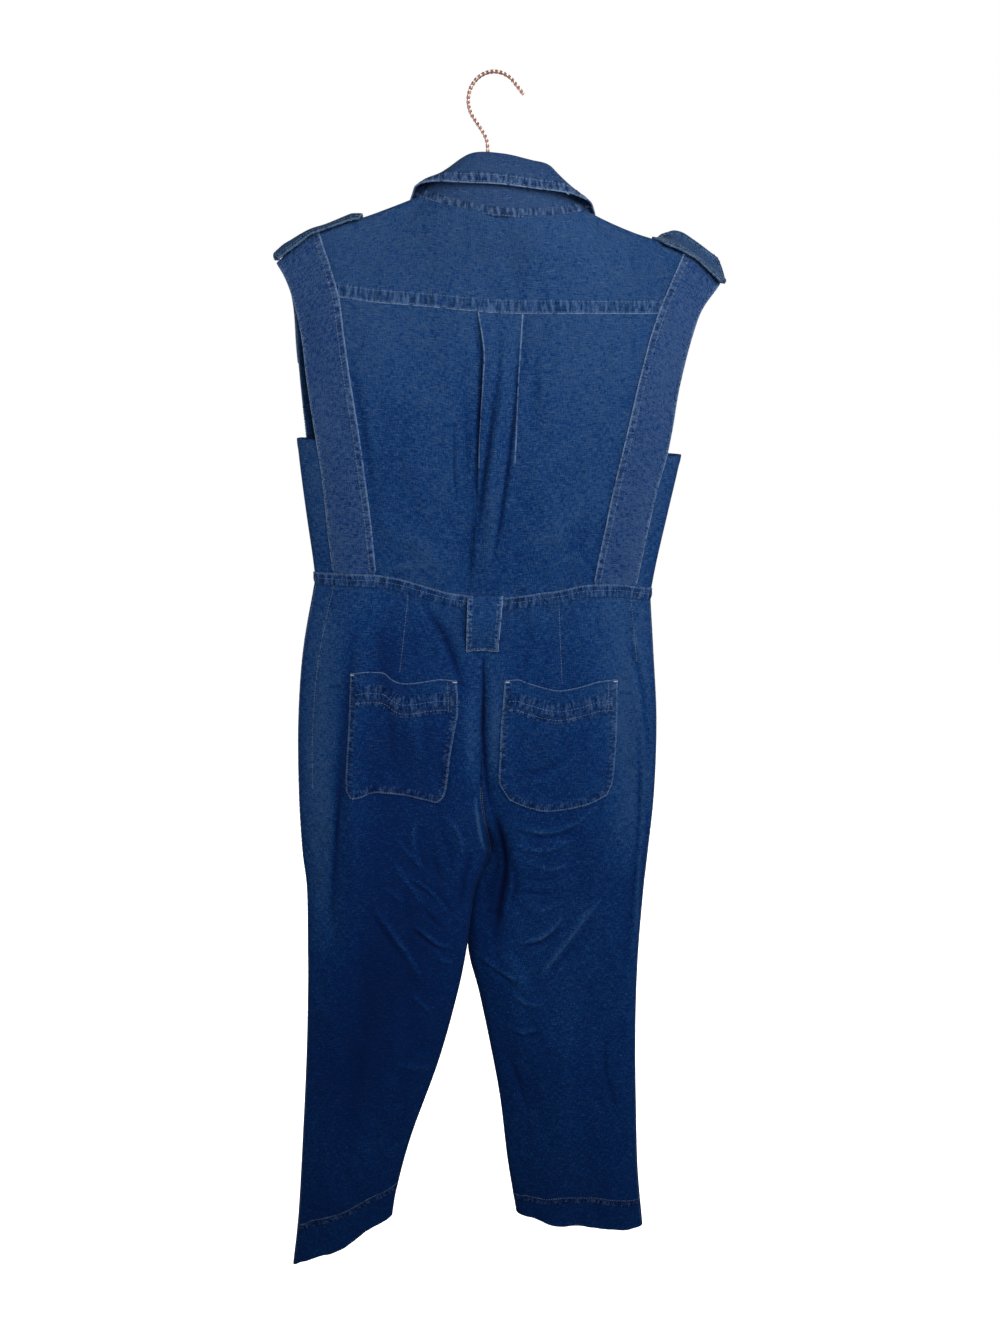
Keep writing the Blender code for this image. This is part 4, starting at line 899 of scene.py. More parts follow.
class Workroom:
    """Keeps the materials, finishes each piece and reports it."""

    def __init__(self) -> None:
        """Builds every finish once."""
        self.materials = {finish: finish.value.material() for finish in Finish}

    def finish_piece(self, piece: bpy.types.Object, finish: Finish, slot: str = "",
                     nodes: Sequence[str] = ()) -> bpy.types.Object:
        """Dresses a piece and puts it on the hanger's body.

        Args:
            piece: the object, at the origin.
            finish: its finish.
            slot: the record's material slot, if it has one; not used.
            nodes: the CAD nodes that it stands for.

        Returns:
            The same object.
        """
        piece.data.materials.clear()
        piece.data.materials.append(self.materials[finish])
        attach(piece, "root")
        if nodes:
            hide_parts(*nodes)
        log.info("%s: %d faces, %s", piece.name, len(piece.data.polygons), finish.name.lower())
        return piece


def new_object(name: str, data: bpy.types.ID) -> bpy.types.Object:
    """Puts a mesh, a light or a camera into the scene.

    Args:
        name: the object's name.
        data: what the object shows.

    Returns:
        The object.
    """
    made = bpy.data.objects.new(name, data)
    bpy.context.scene.collection.objects.link(made)
    return made


# ---- cloth panels

class Border(Enum):
    """The four borders of a panel's grid: which parameter is held, and at which end."""

    LOW_U = (0, 0)
    HIGH_U = (0, 1)
    LOW_V = (1, 0)
    HIGH_V = (1, 1)


@dataclass
class Seam:
    """A sewn edge or line: its turning, its puckers and its rows of stitches."""

    us: Array
    vs: Array
    width: float = 13.0                 # reach of the turning under the cloth
    rows: tuple[float, ...] = (2.0,)    # stitch rows, from the line inwards
    pitch: float = 8.5                  # from one pucker to the next
    swell: float = 0.5
    step: float = 0.5
    worn: bool = True
    roping: float = 1.0                 # how strongly its puckers are painted: wear and painted highlight on top, painted shade between
    groove: float = 0.3                 # how deep a row of stitches draws the cloth in
    groove_width: float = 0.9

    def wave(self, number: int, run: Array, share: Array) -> Array:
        """The puckers along the seam, uneven in length and height.

        Args:
            number: the seam's number on its panel, so that no two are alike.
            run: how far along the seam each point lies.
            share: how far from it, as a share of its width.

        Returns:
            -1 in a hollow to 1 on a swelling, 0 beyond the seam's width.
        """
        window = np.sin(math.pi * np.clip(share, 0.0, 1.0)) ** 0.7 * (share < 1)
        phase = 2 * math.pi * run / self.pitch + 1.5 * np.sin(run / (2.3 * self.pitch) + number)
        phase = phase + 1.1 * np.sin(run / (1.13 * self.pitch) + 2.0 * number) + 1.2 * (share - 0.5)
        wave = 0.62 * np.sin(phase) + 0.38 * np.sin(1.87 * phase + 1.0 + number)
        strength = 0.65 + 0.35 * np.sin(run / (5.1 * self.pitch) + 3.0 * number)
        return wave * window * strength


def divide(place: Surface, along: int, at: float, step: float, span: tuple[float, float] = (0.0, 1.0),
           edges: Sequence[float] = (0.7, 1.8, 3.4)) -> Array:
    """Parameters that cut a surface at even distances, and closer at the ends.

    Args:
        place: the surface.
        along: 0 to divide u, 1 to divide v.
        at: the other parameter's value.
        step: the distance.
        span: first and last parameter.
        edges: distances of the close cuts from both ends.

    Returns:
        The parameters.
    """
    t = np.linspace(*span, 600)
    held = np.full_like(t, at)
    line = place(t, held) if along == 0 else place(held, t)
    run = run_of(line)
    total = run[-1]
    near = [e for e in edges if e < total / 2.2]
    reach = near[-1] if near else 0.0
    count = max(1, round((total - 2 * reach) / step))
    marks = np.concatenate([[0.0], near, np.linspace(reach, total - reach, count + 1)[1:-1],
                            [total - e for e in near[::-1]], [total]])
    marks = np.unique(np.round(marks, 4))
    found = np.interp(marks, run, t)
    found[0], found[-1] = span
    return found


def cuts(place: Surface, along: int, at: float, *spans: Span) -> Array:
    """Parameters that cut a surface in stretches, each with its own distance.

    Args:
        place: the surface.
        along: 0 to cut u, 1 to cut v.
        at: the other parameter's value.
        spans: first and last parameter, the distance, and the distances of the close cuts.

    Returns:
        The parameters.
    """
    return np.unique(np.concatenate([divide(place, along, at, step, (start, stop), edges)
                                     for start, stop, step, edges in spans]))


@dataclass
class Panel:
    """One cut piece of cloth, built as a thin closed shell on its place in the garment."""

    name: str
    place: Surface
    columns: Array
    rows: Array
    lift: float = 0.0
    wall: float = WALL
    outward: bool = False               # True where u cross v points out of the garment
    keep: Optional[Callable[[Array, Array], Array]] = None
    drape: bool = True                  # follows the garment's creases
    seams: list[Seam] = field(default_factory=list)
    extra_lift: Optional[Callable[[Array, Array, Array], Array]] = None
    points: Array = field(init=False)
    out: Array = field(init=False)

    def normals(self, points: Array) -> Array:
        """Unit normals of the grid, pointing out of the garment."""
        along_u, along_v = np.gradient(points, axis=0), np.gradient(points, axis=1)
        return unit(np.cross(along_u, along_v)) * (1.0 if self.outward else -1.0)

    def at(self, us: Array, vs: Array, above: float = 0.0) -> Array:
        """Points on the finished face, by bilinear reading of its grid.

        Args:
            us: first parameters.
            vs: second parameters.
            above: how far over the face.

        Returns:
            The points, in millimetres.
        """
        i = np.clip(np.searchsorted(self.columns, us) - 1, 0, len(self.columns) - 2)
        j = np.clip(np.searchsorted(self.rows, vs) - 1, 0, len(self.rows) - 2)
        a = np.clip((us - self.columns[i]) / (self.columns[i + 1] - self.columns[i]), 0, 1)[:, None]
        b = np.clip((vs - self.rows[j]) / (self.rows[j + 1] - self.rows[j]), 0, 1)[:, None]

        def read(values: Array) -> Array:
            """The grid's values between its four corners.

            Args:
                values: a row of numbers for each point of the grid.

            Returns:
                The numbers at us, vs.
            """
            low = values[i, j] * (1 - a) + values[i + 1, j] * a
            high = values[i, j + 1] * (1 - a) + values[i + 1, j + 1] * a
            return low * (1 - b) + high * b

        return read(self.points) + read(self.out) * above

    def line(self, border: Border, inset: float | Array = 0.0, start: float = 0.0, stop: float = 1.0,
             count: int = 120) -> tuple[Array, Array]:
        """Parameters of a line that runs beside a border.

        Args:
            border: which one.
            inset: distance from it, the same or one for each point.
            start: where the line starts, as a share of the border.
            stop: where it ends.
            count: how many points.

        Returns:
            us and vs.
        """
        held, end = border.value
        own, other = (self.columns, self.rows) if held == 0 else (self.rows, self.columns)
        t = other[0] + (other[-1] - other[0]) * np.linspace(start, stop, count)
        edge, far = (own[0], own[-1]) if end == 0 else (own[-1], own[0])
        if not np.any(inset):
            crossing = np.full_like(t, edge)
            return (crossing, t) if held == 0 else (t, crossing)
        tries = edge + (far - edge) * np.linspace(0.0, 0.6, 160) ** 1.5
        grid_t, grid_c = np.meshgrid(t, tries, indexing="ij")
        points = self.place(grid_c, grid_t) if held == 0 else self.place(grid_t, grid_c)
        runs = np.cumsum(np.linalg.norm(np.diff(points, axis=1), axis=-1), axis=1)
        runs = np.concatenate([np.zeros((len(t), 1)), runs], axis=1)
        insets = np.broadcast_to(inset, t.shape)
        crossing = np.array([np.interp(away, run, tries) for away, run in zip(insets, runs)])
        return (crossing, t) if held == 0 else (t, crossing)

    def sew(self, border: Border, start: float = 0.0, stop: float = 1.0, **sizes: object) -> None:
        """Adds a seam along a border."""
        self.stitch(*self.line(border, 0.0, start, stop), **sizes)

    def stitch(self, us: Array, vs: Array, **sizes: object) -> None:
        """Adds a sewn line of given parameters."""
        self.seams.append(Seam(us, vs, **sizes))

    def relief(self) -> tuple[Array, dict[str, Array]]:
        """Works the seams into the cloth.

        Returns:
            How far each point is raised, and the attributes that the finish reads.
        """
        shape = self.points.shape[:2]
        raised = np.zeros(shape)
        rope, run_m = np.full(shape, 9.0), np.zeros(shape)
        edge, pucker, roping = np.full(shape, 99.0), np.zeros(shape), np.zeros(shape)
        for number, seam in enumerate(self.seams):
            line = self.at(seam.us, seam.vs)
            away, run = from_line(self.points, line[::2])
            share = away / seam.width
            wave = seam.wave(number, run, share)
            raised += seam.swell * wave + seam.step * ease((1.05 - share) / 0.14)
            for row in seam.rows:
                raised -= seam.groove * np.exp(-(((away - row) / seam.groove_width) ** 2)) * (share < 1.3)
            nearer = share < rope
            rope, run_m = np.where(nearer, share, rope), np.where(nearer, run * MM + number, run_m)
            roping = np.where(nearer, seam.roping, roping)
            pucker = np.where(np.abs(wave) > np.abs(pucker), wave, pucker)
            if seam.worn:
                edge = np.minimum(edge, away)
        return raised, {"rope": rope, "run": run_m, "edge": edge, "pucker": pucker, "roping": roping}

    def grain(self) -> Array:
        """The panel laid flat.

        Returns:
            For each point of the grid its distances along the weft and the warp, in metres.
        """
        middle = len(self.columns) // 2
        across = np.linalg.norm(np.diff(self.points, axis=0), axis=-1)
        weft = np.concatenate([np.zeros((1, len(self.rows))), np.cumsum(across, axis=0)])
        weft = weft - weft[middle]
        warp = np.broadcast_to(run_of(self.points[middle]), weft.shape)
        return np.stack([weft * MM, warp * MM], axis=-1)

    def lay(self, us: Array, vs: Array) -> dict[str, Array]:
        """Lays the cloth on its place, with its creases and its seams.

        Args:
            us: first parameters of the grid.
            vs: second parameters.

        Returns:
            The attributes that the finish reads, at each point of the grid.
        """
        self.points = self.place(us, vs)
        self.out = self.normals(self.points)
        rise = np.full(us.shape, self.lift)
        drape, wear = drape_lift(self.points) if self.drape else (np.zeros(us.shape),) * 2
        if self.extra_lift:
            rise = rise + self.extra_lift(us, vs, self.points)
        outwards = np.sign(self.points[..., 1])
        self.points = self.points + self.out * rise[..., None]
        self.points[..., 1] += outwards * drape
        raised, attributes = self.relief()
        self.points = self.points + self.out * raised[..., None]
        self.out = self.normals(self.points)
        return {**attributes, "wear": wear}

    def outer_faces(self, us: Array, vs: Array) -> Array:
        """The faces of the cloth's outer side.

        Args:
            us: first parameters of the grid.
            vs: second parameters.

        Returns:
            Four point numbers for each face.
        """
        index = np.arange(us.size).reshape(us.shape)
        quads = np.stack([index[:-1, :-1], index[1:, :-1], index[1:, 1:], index[:-1, 1:]], axis=-1)
        if self.keep:
            mid_u, mid_v = (us[:-1, :-1] + us[1:, 1:]) / 2, (vs[:-1, :-1] + vs[1:, 1:]) / 2
            quads = quads[self.keep(mid_u, mid_v)]
        quads = quads.reshape(-1, 4)
        return quads if self.outward else quads[:, ::-1]

    def close(self, quads: Array) -> tuple[Array, Array, Array]:
        """Gives the cloth its inner side, and a rounded rim between the two.

        Args:
            quads: the faces of the outer side.

        Returns:
            Points in metres, faces, and for each point the grid point that it belongs to.
        """
        outer, out = self.points.reshape(-1, 3), self.out.reshape(-1, 3)
        count = len(outer)
        starts, ends = quads.ravel(), np.roll(quads, -1, axis=1).ravel()
        shared = np.isin(starts * count + ends, ends * count + starts)
        starts, ends = starts[~shared], ends[~shared]
        centres = outer[quads].mean(axis=1)
        pull = np.zeros_like(outer)
        for corner in range(4):
            np.add.at(pull, quads[:, corner], outer[quads[:, corner]] - centres)
        pull = unit(pull - out * (pull * out).sum(-1, keepdims=True))
        rim = np.unique(starts)
        slot = np.full(count, -1)
        slot[rim] = 2 * count + np.arange(len(rim))
        bulge = min(self.wall * 0.22, 0.3)
        middle = outer[rim] - out[rim] * self.wall / 2 + pull[rim] * bulge
        points = np.concatenate([outer, outer - out * self.wall, middle]) * MM
        faces = np.concatenate([
            quads, quads[:, ::-1] + count,
            np.stack([ends, starts, slot[starts], slot[ends]], axis=-1),
            np.stack([slot[ends], slot[starts], starts + count, ends + count], axis=-1),
        ])
        used, faces = np.unique(faces, return_inverse=True)
        on_grid = np.concatenate([np.arange(count), np.arange(count), rim])
        return points[used], faces.reshape(-1, 4), on_grid[used]

    def make(self) -> bpy.types.Object:
        """Builds the shell.

        Returns:
            The piece, at the origin, with its grain map and attributes.
        """
        us, vs = np.meshgrid(self.columns, self.rows, indexing="ij")
        attributes = self.lay(us, vs)
        points, faces, on_grid = self.close(self.outer_faces(us, vs))
        mesh = bpy.data.meshes.new(self.name + "_cloth")
        mesh.from_pydata(points, [], faces.tolist())
        corners = np.zeros(len(mesh.loops), np.int32)
        mesh.loops.foreach_get("vertex_index", corners)
        flat = self.grain().reshape(-1, 2)[on_grid][corners]
        mesh.uv_layers.new(name="grain").data.foreach_set("uv", flat.astype(np.float32).ravel())
        for name, values in attributes.items():
            at_points = values.ravel()[on_grid].astype(np.float32)
            mesh.attributes.new(name, "FLOAT", "POINT").data.foreach_set("value", at_points)
        mesh.shade_smooth()
        mesh.update()
        return new_object(self.name + "_cloth", mesh)

    def threads(self, above: float = 0.12) -> list[Array]:
        """The stitch rows of every seam along a border, as lines on the finished face.

        Args:
            above: how far over the face.

        Returns:
            The rows of every seam, as lines in millimetres.
        """
        lines = []
        for seam in self.seams:
            for row in seam.rows:
                us, vs = self.inset(seam, row)
                lines.append(self.at(us, vs, above))
        return lines

    def inset(self, seam: Seam, row: float) -> tuple[Array, Array]:
        """Parameters of a seam's line moved inwards by a distance.

        Args:
            seam: the seam.
            row: the distance.

        Returns:
            us and vs, moved only where the seam runs along a border.
        """
        for border in Border:
            held, end = border.value
            own, other = (seam.us, seam.vs) if held == 0 else (seam.vs, seam.us)
            limits = self.columns if held == 0 else self.rows
            reach = self.rows if held == 0 else self.columns
            if np.ptp(own) == 0 and own[0] == limits[-1 if end else 0]:
                share = (other - reach[0]) / (reach[-1] - reach[0])
                return self.line(border, row, share[0], share[-1], len(other))
        return seam.us, seam.vs


# ---- stitches

@dataclass
class StitchMaker:
    """Rows of machine stitches, laid along lines by a Geometry Nodes tree."""

    length: float = 2.5
    pitch: float = 3.3
    thick: float = 0.62
    seed: int = 5
    least: float = 0.82         # size of the smallest stitch, as a share
    most: float = 1.15

    @property
    def sizes(self) -> dict[str, float]:
        """The tree's inputs by name, in metres."""
        return {"Pitch": self.pitch * MM, "Length": self.length * MM, "Thickness": self.thick * MM}

    def tree(self, material: bpy.types.Material) -> bpy.types.NodeTree:
        """The node tree that turns polylines into stitches.

        Args:
            material: the thread's finish.

        Returns:
            A tree with the inputs Pitch, Length, Thickness and Seed.
        """
        made = bpy.data.node_groups.new("stitch_row", "GeometryNodeTree")
        face = made.interface
        face.new_socket("Geometry", in_out="INPUT", socket_type="NodeSocketGeometry")
        for name, value in self.sizes.items():
            face.new_socket(name, in_out="INPUT", socket_type="NodeSocketFloat").default_value = value
        face.new_socket("Seed", in_out="INPUT", socket_type="NodeSocketInt").default_value = self.seed
        face.new_socket("Geometry", in_out="OUTPUT", socket_type="NodeSocketGeometry")

        n = Nodes(made)
        start = n.add("NodeGroupInput").outputs
        curve = n.add("GeometryNodeMeshToCurve", None, Mesh=start["Geometry"]).outputs[0]
        spaced = n.add("GeometryNodeResampleCurve", {"mode": "LENGTH"}, Curve=curve, Length=start["Pitch"])
        tangent = n.add("GeometryNodeInputTangent").outputs[0]
        turned = n.add("FunctionNodeAlignRotationToVector", {"axis": "Z"}, Vector=tangent)
        bead = n.add("GeometryNodeMeshIcoSphere", None, Radius=0.5, Subdivisions=1).outputs["Mesh"]
        size = n.add("ShaderNodeCombineXYZ", None, X=start["Thickness"], Y=start["Thickness"],
                     Z=start["Length"])
        shaped = n.add("GeometryNodeTransform", None, Geometry=bead, Scale=size.outputs[0])
        jitter = n.add("FunctionNodeRandomValue", {"data_type": "FLOAT"}, in2=self.least, in3=self.most,
                       Seed=start["Seed"])
        placed = n.add("GeometryNodeInstanceOnPoints", None, Points=spaced.outputs[0],
                       Instance=shaped.outputs[0], Rotation=turned.outputs[0], Scale=jitter.outputs[1])
        real = n.add("GeometryNodeRealizeInstances", None, Geometry=placed.outputs[0])
        smooth = n.add("GeometryNodeSetShadeSmooth", None, Geometry=real.outputs[0])
        dressed = n.add("GeometryNodeSetMaterial", None, Geometry=smooth.outputs[0], Material=material)
        n.add("NodeGroupOutput", None, Geometry=dressed.outputs[0])
        return made

    def make(self, name: str, lines: Sequence[Array], material: bpy.types.Material) -> bpy.types.Object:
        """Sews stitches along lines.

        Args:
            name: the piece's name.
            lines: polylines in millimetres.
            material: the thread's finish.

        Returns:
            One mesh with every stitch.
        """
        points, edges = [], []
        for line in lines:
            first = len(points)
            points.extend((line * MM).tolist())
            edges.extend((first + k, first + k + 1) for k in range(len(line) - 1))
        guide_mesh = bpy.data.meshes.new(name + "_guide")
        guide_mesh.from_pydata(points, edges, [])
        guide = new_object(name + "_guide", guide_mesh)
        tree = self.tree(material)
        sewn = guide.modifiers.new("stitches", "NODES")
        sewn.node_group = tree
        sizes = {**self.sizes, "Seed": self.seed}
        for socket in tree.interface.items_tree:
            if socket.in_out == "INPUT" and socket.name in sizes:
                sewn[socket.identifier] = sizes[socket.name]
        mesh = bpy.data.meshes.new_from_object(guide.evaluated_get(bpy.context.evaluated_depsgraph_get()))
        bpy.data.objects.remove(guide)
        return new_object(name, mesh)


# ---- the garment's sub-assemblies

@dataclass
class Sheet:
    """The cut of one panel before it was sewn: width and length in metres, and its true area."""

    width_m: float
    length_m: float
    fill: float = 1.0       # share of the rectangle that the cut takes


@dataclass
class Assembly:
    """What every sub-assembly shares: a workroom, its panels and their stitches."""

    room: Workroom
    lines: list[Array] = field(default_factory=list)

    def cut(self, panel: Panel, finish: Finish, sheet: Sheet, *rests_on: str, slot: str = "denim") -> None:
        """Makes a panel in place of its CAD node and keeps its stitch lines.

        Args:
            panel: the panel, named as the node.
            finish: its finish.
            sheet: the cut; not used.
            rests_on: the nodes that it lies on; not used.
            slot: the record's material slot.
        """
        piece = self.room.finish_piece(panel.make(), finish, slot, [panel.name])
        self.lines.extend(panel.threads())

    def sew(self, name: str, maker: StitchMaker = StitchMaker(), thread: Finish = Finish.THREAD) -> None:
        """Lays this sub-assembly's stitches.

        Args:
            name: the piece's name.
            maker: the stitches' sizes.
            thread: their finish.
        """
        piece = maker.make(name, self.lines, self.room.materials[thread])
        self.room.finish_piece(piece, thread)


@dataclass(frozen=True)
class Front:
    """The form of one front panel.

    u 0 to 1 runs from centre front to the armhole and 1 to 2 on round the side fold, v 0 to 1
    runs from the top down to the underarm and 1 to 2 on to the waist.
    """

    side: Side
    side_lap: float = 13.0
    neck_share: float = 0.42    # how much of u runs along the neck
    neck_z: float = -205.0

    def side_x(self, z: Array) -> Array:
        """x of the side fold."""
        return BODICE(self.side.value, z)

    def centre(self, z: Array) -> Array:
        """x of the centre front."""
        return CENTRE_FRONT("x", z) + self.side.sign * SEAM_GAP / 2

    def turned(self, x: Array, z: Array) -> Array:
        """Share of the way from centre front, 0, to the side fold, 1."""
        share = (x - self.centre(z)) / (self.side_x(z) - self.centre(z))
        return 2 / math.pi * np.arcsin(np.clip(share, -1.0, 1.0))

    def upper(self, u: Array, v: Array) -> tuple[Array, Array]:
        """The part above the underarm.

        Args:
            u: 0 to 1.
            v: 0 to 1.

        Returns:
            x and z.
        """
        armhole, under = ARMHOLE_FRONT[self.side], UNDERARM[self.side]
        neck_x, tip_x = NECK_X + self.side.sign * NECK_HALF, FRONT_TIP[self.side]
        along_neck = np.clip(u / self.neck_share, 0.0, 1.0)
        along_shoulder = np.clip((u - self.neck_share) / (1 - self.neck_share), 0.0, 1.0)
        first = self.centre(self.neck_z)
        top_x = np.where(u < self.neck_share, first + (neck_x - first) * np.sin(math.pi / 2 * along_neck),
                         neck_x + (tip_x - neck_x) * along_shoulder)
        top_z = np.where(u < self.neck_share, NECK[Face.FRONT]("z", top_x),
                         SHOULDER("z", top_x) - RIDGE_START)
        low_q = self.turned(armhole("x", under), under) * u
        low_x = self.centre(under)
        low_x = low_x + (self.side_x(under) - low_x) * np.sin(math.pi / 2 * low_q)
        share = 1 - np.cos(math.pi / 2 * np.clip(v, 0.0, 1.0))
        straight = top_x + (low_x - top_x) * share
        z = top_z + (under - top_z) * share
        at_side = np.clip(u, 0.0, 1.0) ** 6 * ease(share / 0.03)
        x = straight + at_side * (armhole("x", z) - straight)
        x = x + np.clip(1 - 10 * u, 0.0, 1.0) * (self.centre(z) - straight)
        return x, np.minimum(z, SHOULDER("z", x) - RIDGE_START)

    def place(self, u: Array, v: Array) -> Array:
        """The panel's points.

        Args:
            u: 0 to 2.
            v: 0 to 2.

        Returns:
            The points.
        """
        under = UNDERARM[self.side]
        up_x, up_z = self.upper(np.clip(u, 0.0, 1.0), v)
        down = np.clip(v - 1, 0.0, 1.0)
        z = under + (WAIST[Face.FRONT]("z", up_x) - under) * down
        q_arm = self.turned(ARMHOLE_FRONT[self.side]("x", under), under)
        for _ in range(3):
            edge = BAND[self.side]("outer", z) - self.side.sign * self.side_lap
            q_end = 2 - self.turned(edge, z)
            q = np.where(u < 1, q_arm * u, q_arm + (q_end - q_arm) * (u - 1))
            x = self.centre(z) + (self.side_x(z) - self.centre(z)) * np.sin(math.pi / 2 * q)
            waist = np.where(q < 1, WAIST[Face.FRONT]("z", x), WAIST[Face.BACK]("z", x)) + WAIST_GAP
            z = under + (waist - under) * down
        low = np.where((q > 1)[..., None], bodice_point(Face.BACK, x, z), bodice_point(Face.FRONT, x, z))
        return np.where((v < 1)[..., None], bodice_point(Face.FRONT, up_x, up_z), low)


@dataclass
class Bodice(Assembly):
    """Yoke, pleated back and the two fronts."""

    back_lap: float = 9.0
    low_z: float = -532.0       # first guess of the waist's height
    pleat_u: tuple[float, float, float, float] = (0.4152, 0.4272, 0.570, 0.582)
    felled: float = 14.0        # from the yoke's edge to its second stitch row

    def across_back(self, u: Array, left: Array, right: Array, z: Array) -> Array:
        """x at a height: even from left to right, with columns kept to the pleat's folds.

        Args:
            u: 0 on the left to 1 on the right.
            left: x of the left edge.
            right: x of the right edge.
            z: the height.

        Returns:
            x.
        """
        folds = PLEAT("left", z), PLEAT("right", z)
        u1, u2, u3, u4 = self.pleat_u
        knots = ((0.0, left), (u1, folds[0] - 5), (u2, folds[0] + 2.5), (u3, folds[1] - 2.5),
                 (u4, folds[1] + 5), (1.0, right))
        x = np.zeros(np.broadcast(u, z).shape)
        for (start, here), (stop, there) in zip(knots, knots[1:]):
            inside = (u >= start) & (u <= stop)
            x = np.where(inside, here + (there - here) * (u - start) / (stop - start), x)
        return x

    def yoke_place(self, u: Array, v: Array) -> Array:
        """The yoke: u from band to band, v from shoulder and neck to just past its seam.

        Args:
            u: from the left edge to the right one.
            v: from the top down.

        Returns:
            The yoke's points.
        """
        left_top, right_top = (BAND_TOP[side][0] + side.sign * self.back_lap for side in Side)
        left_low = BAND[Side.LEFT]("inner", YOKE_LOW[Side.LEFT]) - self.back_lap
        right_low = BAND[Side.RIGHT]("inner", YOKE_LOW[Side.RIGHT]) + self.back_lap
        top_x = left_top + (right_top - left_top) * u
        low_x = self.across_back(u, left_low, right_low, np.full_like(u, YOKE_LOW[Side.RIGHT]))
        in_neck = np.abs(top_x - NECK_X) < NECK_HALF
        top_z = np.where(in_neck, NECK[Face.BACK]("z", top_x), SHOULDER("z", top_x) - RIDGE_START)
        low_z = YOKE_SEAM("z", low_x) - 0.8
        share = 1 - np.cos(math.pi / 2 * v)
        x = top_x + (low_x - top_x) * share
        z = top_z + (low_z - top_z) * share
        seam = YOKE_SEAM("z", x) + 0.01
        point = bodice_point(Face.BACK, x, np.maximum(z, seam))
        point[..., 2] = z
        return point

    def yoke_lift(self, us: Array, vs: Array, points: Array) -> Array:
        """The yoke's lower edge lies over the back, and swells where the pleat is caught in it.

        Args:
            us: first parameters; not used.
            vs: second parameters; not used.
            points: the yoke's points.

        Returns:
            How far each point is raised.
        """
        x, z = points[..., 0], points[..., 2]
        near = ease(1 - (z - YOKE_SEAM("z", x)) / 24.0)
        edge = ease(1 - (z - YOKE_SEAM("z", x)) / 5.0)
        pleated = ease((x + 24) / 12.0) * ease((38 - x) / 12.0)
        return 1.3 * pleated * near + 0.55 * edge

    def back_place(self, u: Array, v: Array) -> Array:
        """The back under the yoke: u from band to band, v from the yoke seam to the waist.

        Args:
            u: from the left edge to the right one.
            v: from the seam down.

        Returns:
            The back's points.
        """
        z = YOKE_LOW[Side.LEFT] + (self.low_z - YOKE_LOW[Side.LEFT]) * v
        for _ in range(4):
            left = BAND[Side.LEFT]("inner", z) - self.back_lap
            right = BAND[Side.RIGHT]("inner", z) + self.back_lap
            x = self.across_back(u, left, right, np.minimum(z, YOKE_LOW[Side.RIGHT]))
            top, low = YOKE_SEAM("z", x) - SEAM_GAP / 2, WAIST[Face.BACK]("z", x) + WAIST_GAP
            z = top + (low - top) * v
        return bodice_point(Face.BACK, x, z)

    def build(self) -> None:
        """Makes the yoke, the back and the fronts."""
        self.build_yoke()
        self.build_back()
        for side in Side:
            self.build_front(side)
        self.sew("stitches_bodice")

    def back_columns(self) -> Array:
        """Where the yoke and the back are cut from side to side.

        Returns:
            The cuts, close together at the pleat's folds.
        """
        u1, u2, u3, u4 = self.pleat_u
        spans = ((0.0, u1, 2.4), (u1, u2, 0.5), (u2, u3, 2.2), (u3, u4, 0.5), (u4, 1.0, 2.4))
        return cuts(self.back_place, 0, 0.4, *[(*span, ()) for span in spans])

    def build_yoke(self) -> None:
        """Makes the yoke."""
        rows = divide(self.yoke_place, 1, 0.5, 2.6, edges=(0.6, 1.4, 2.6, 4.2, 6, 8, 10, 12, 13.4, 15))
        yoke = Panel("back_yoke", self.yoke_place, self.back_columns(), rows, extra_lift=self.yoke_lift)
        yoke.sew(Border.HIGH_V, width=self.felled, rows=(1.8, 12.6), pitch=9.0, swell=0.8, step=0.45,
                 roping=0.8)
        self.cut(yoke, Finish.DENIM, Sheet(0.44, 0.125, 0.86), "hanger_arms")

    def build_back(self) -> None:
        """Makes the back, with a worn line down each fold of the pleat."""
        u1, u2, u3, u4 = self.pleat_u
        rows = divide(self.back_place, 1, 0.3, 3.4, edges=(1.0, 2.4, 4.2))
        back = Panel("back_bodice", self.back_place, self.back_columns(), rows)
        for fold, end in ((u1 + (u2 - u1) * 0.80, 0.52), (u4 - (u4 - u3) * 0.80, 0.5)):
            vs = np.linspace(0.0, end, 80)
            back.stitch(np.full_like(vs, fold), vs, width=0.8, rows=(), swell=0.0, step=0.0)
        back.sew(Border.HIGH_V, width=16.0, rows=(), pitch=10.0, swell=0.45, step=0.0, worn=False,
                 roping=0.15)
        self.cut(back, Finish.DENIM, Sheet(0.36, 0.31, 0.9), "back_yoke")

    def build_front(self, side: Side) -> None:
        """Makes one front.

        Args:
            side: which one.
        """
        place = Front(side).place
        edges = (0.8, 2.0, 4.0)
        columns = cuts(place, 0, 1.5, (0.0, 1.0, 4.2, edges), (1.0, 2.0, 3.6, edges))
        rows = cuts(place, 1, 0.6, (0.0, 1.0, 4.2, edges), (1.0, 2.0, 4.2, edges))
        front = Panel("front_" + side.value, place, columns, rows, outward=side is Side.RIGHT,
                      keep=lambda u, v: (u < 1) | (v > 1))
        down, held = np.linspace(0.0, 1.0, 120), np.full(120, 1.0)
        front.stitch(held, down, width=8.0, rows=(6.0,), pitch=9.0, swell=0.35, step=0.3, roping=0.25)
        front.stitch(1.0 + down, held, width=9.0, rows=(), pitch=9.0, swell=0.2, step=0.3, worn=False,
                     roping=0.25)
        self.cut(front, Finish.DENIM, Sheet(0.30, 0.42, 0.78), "hanger_arms")


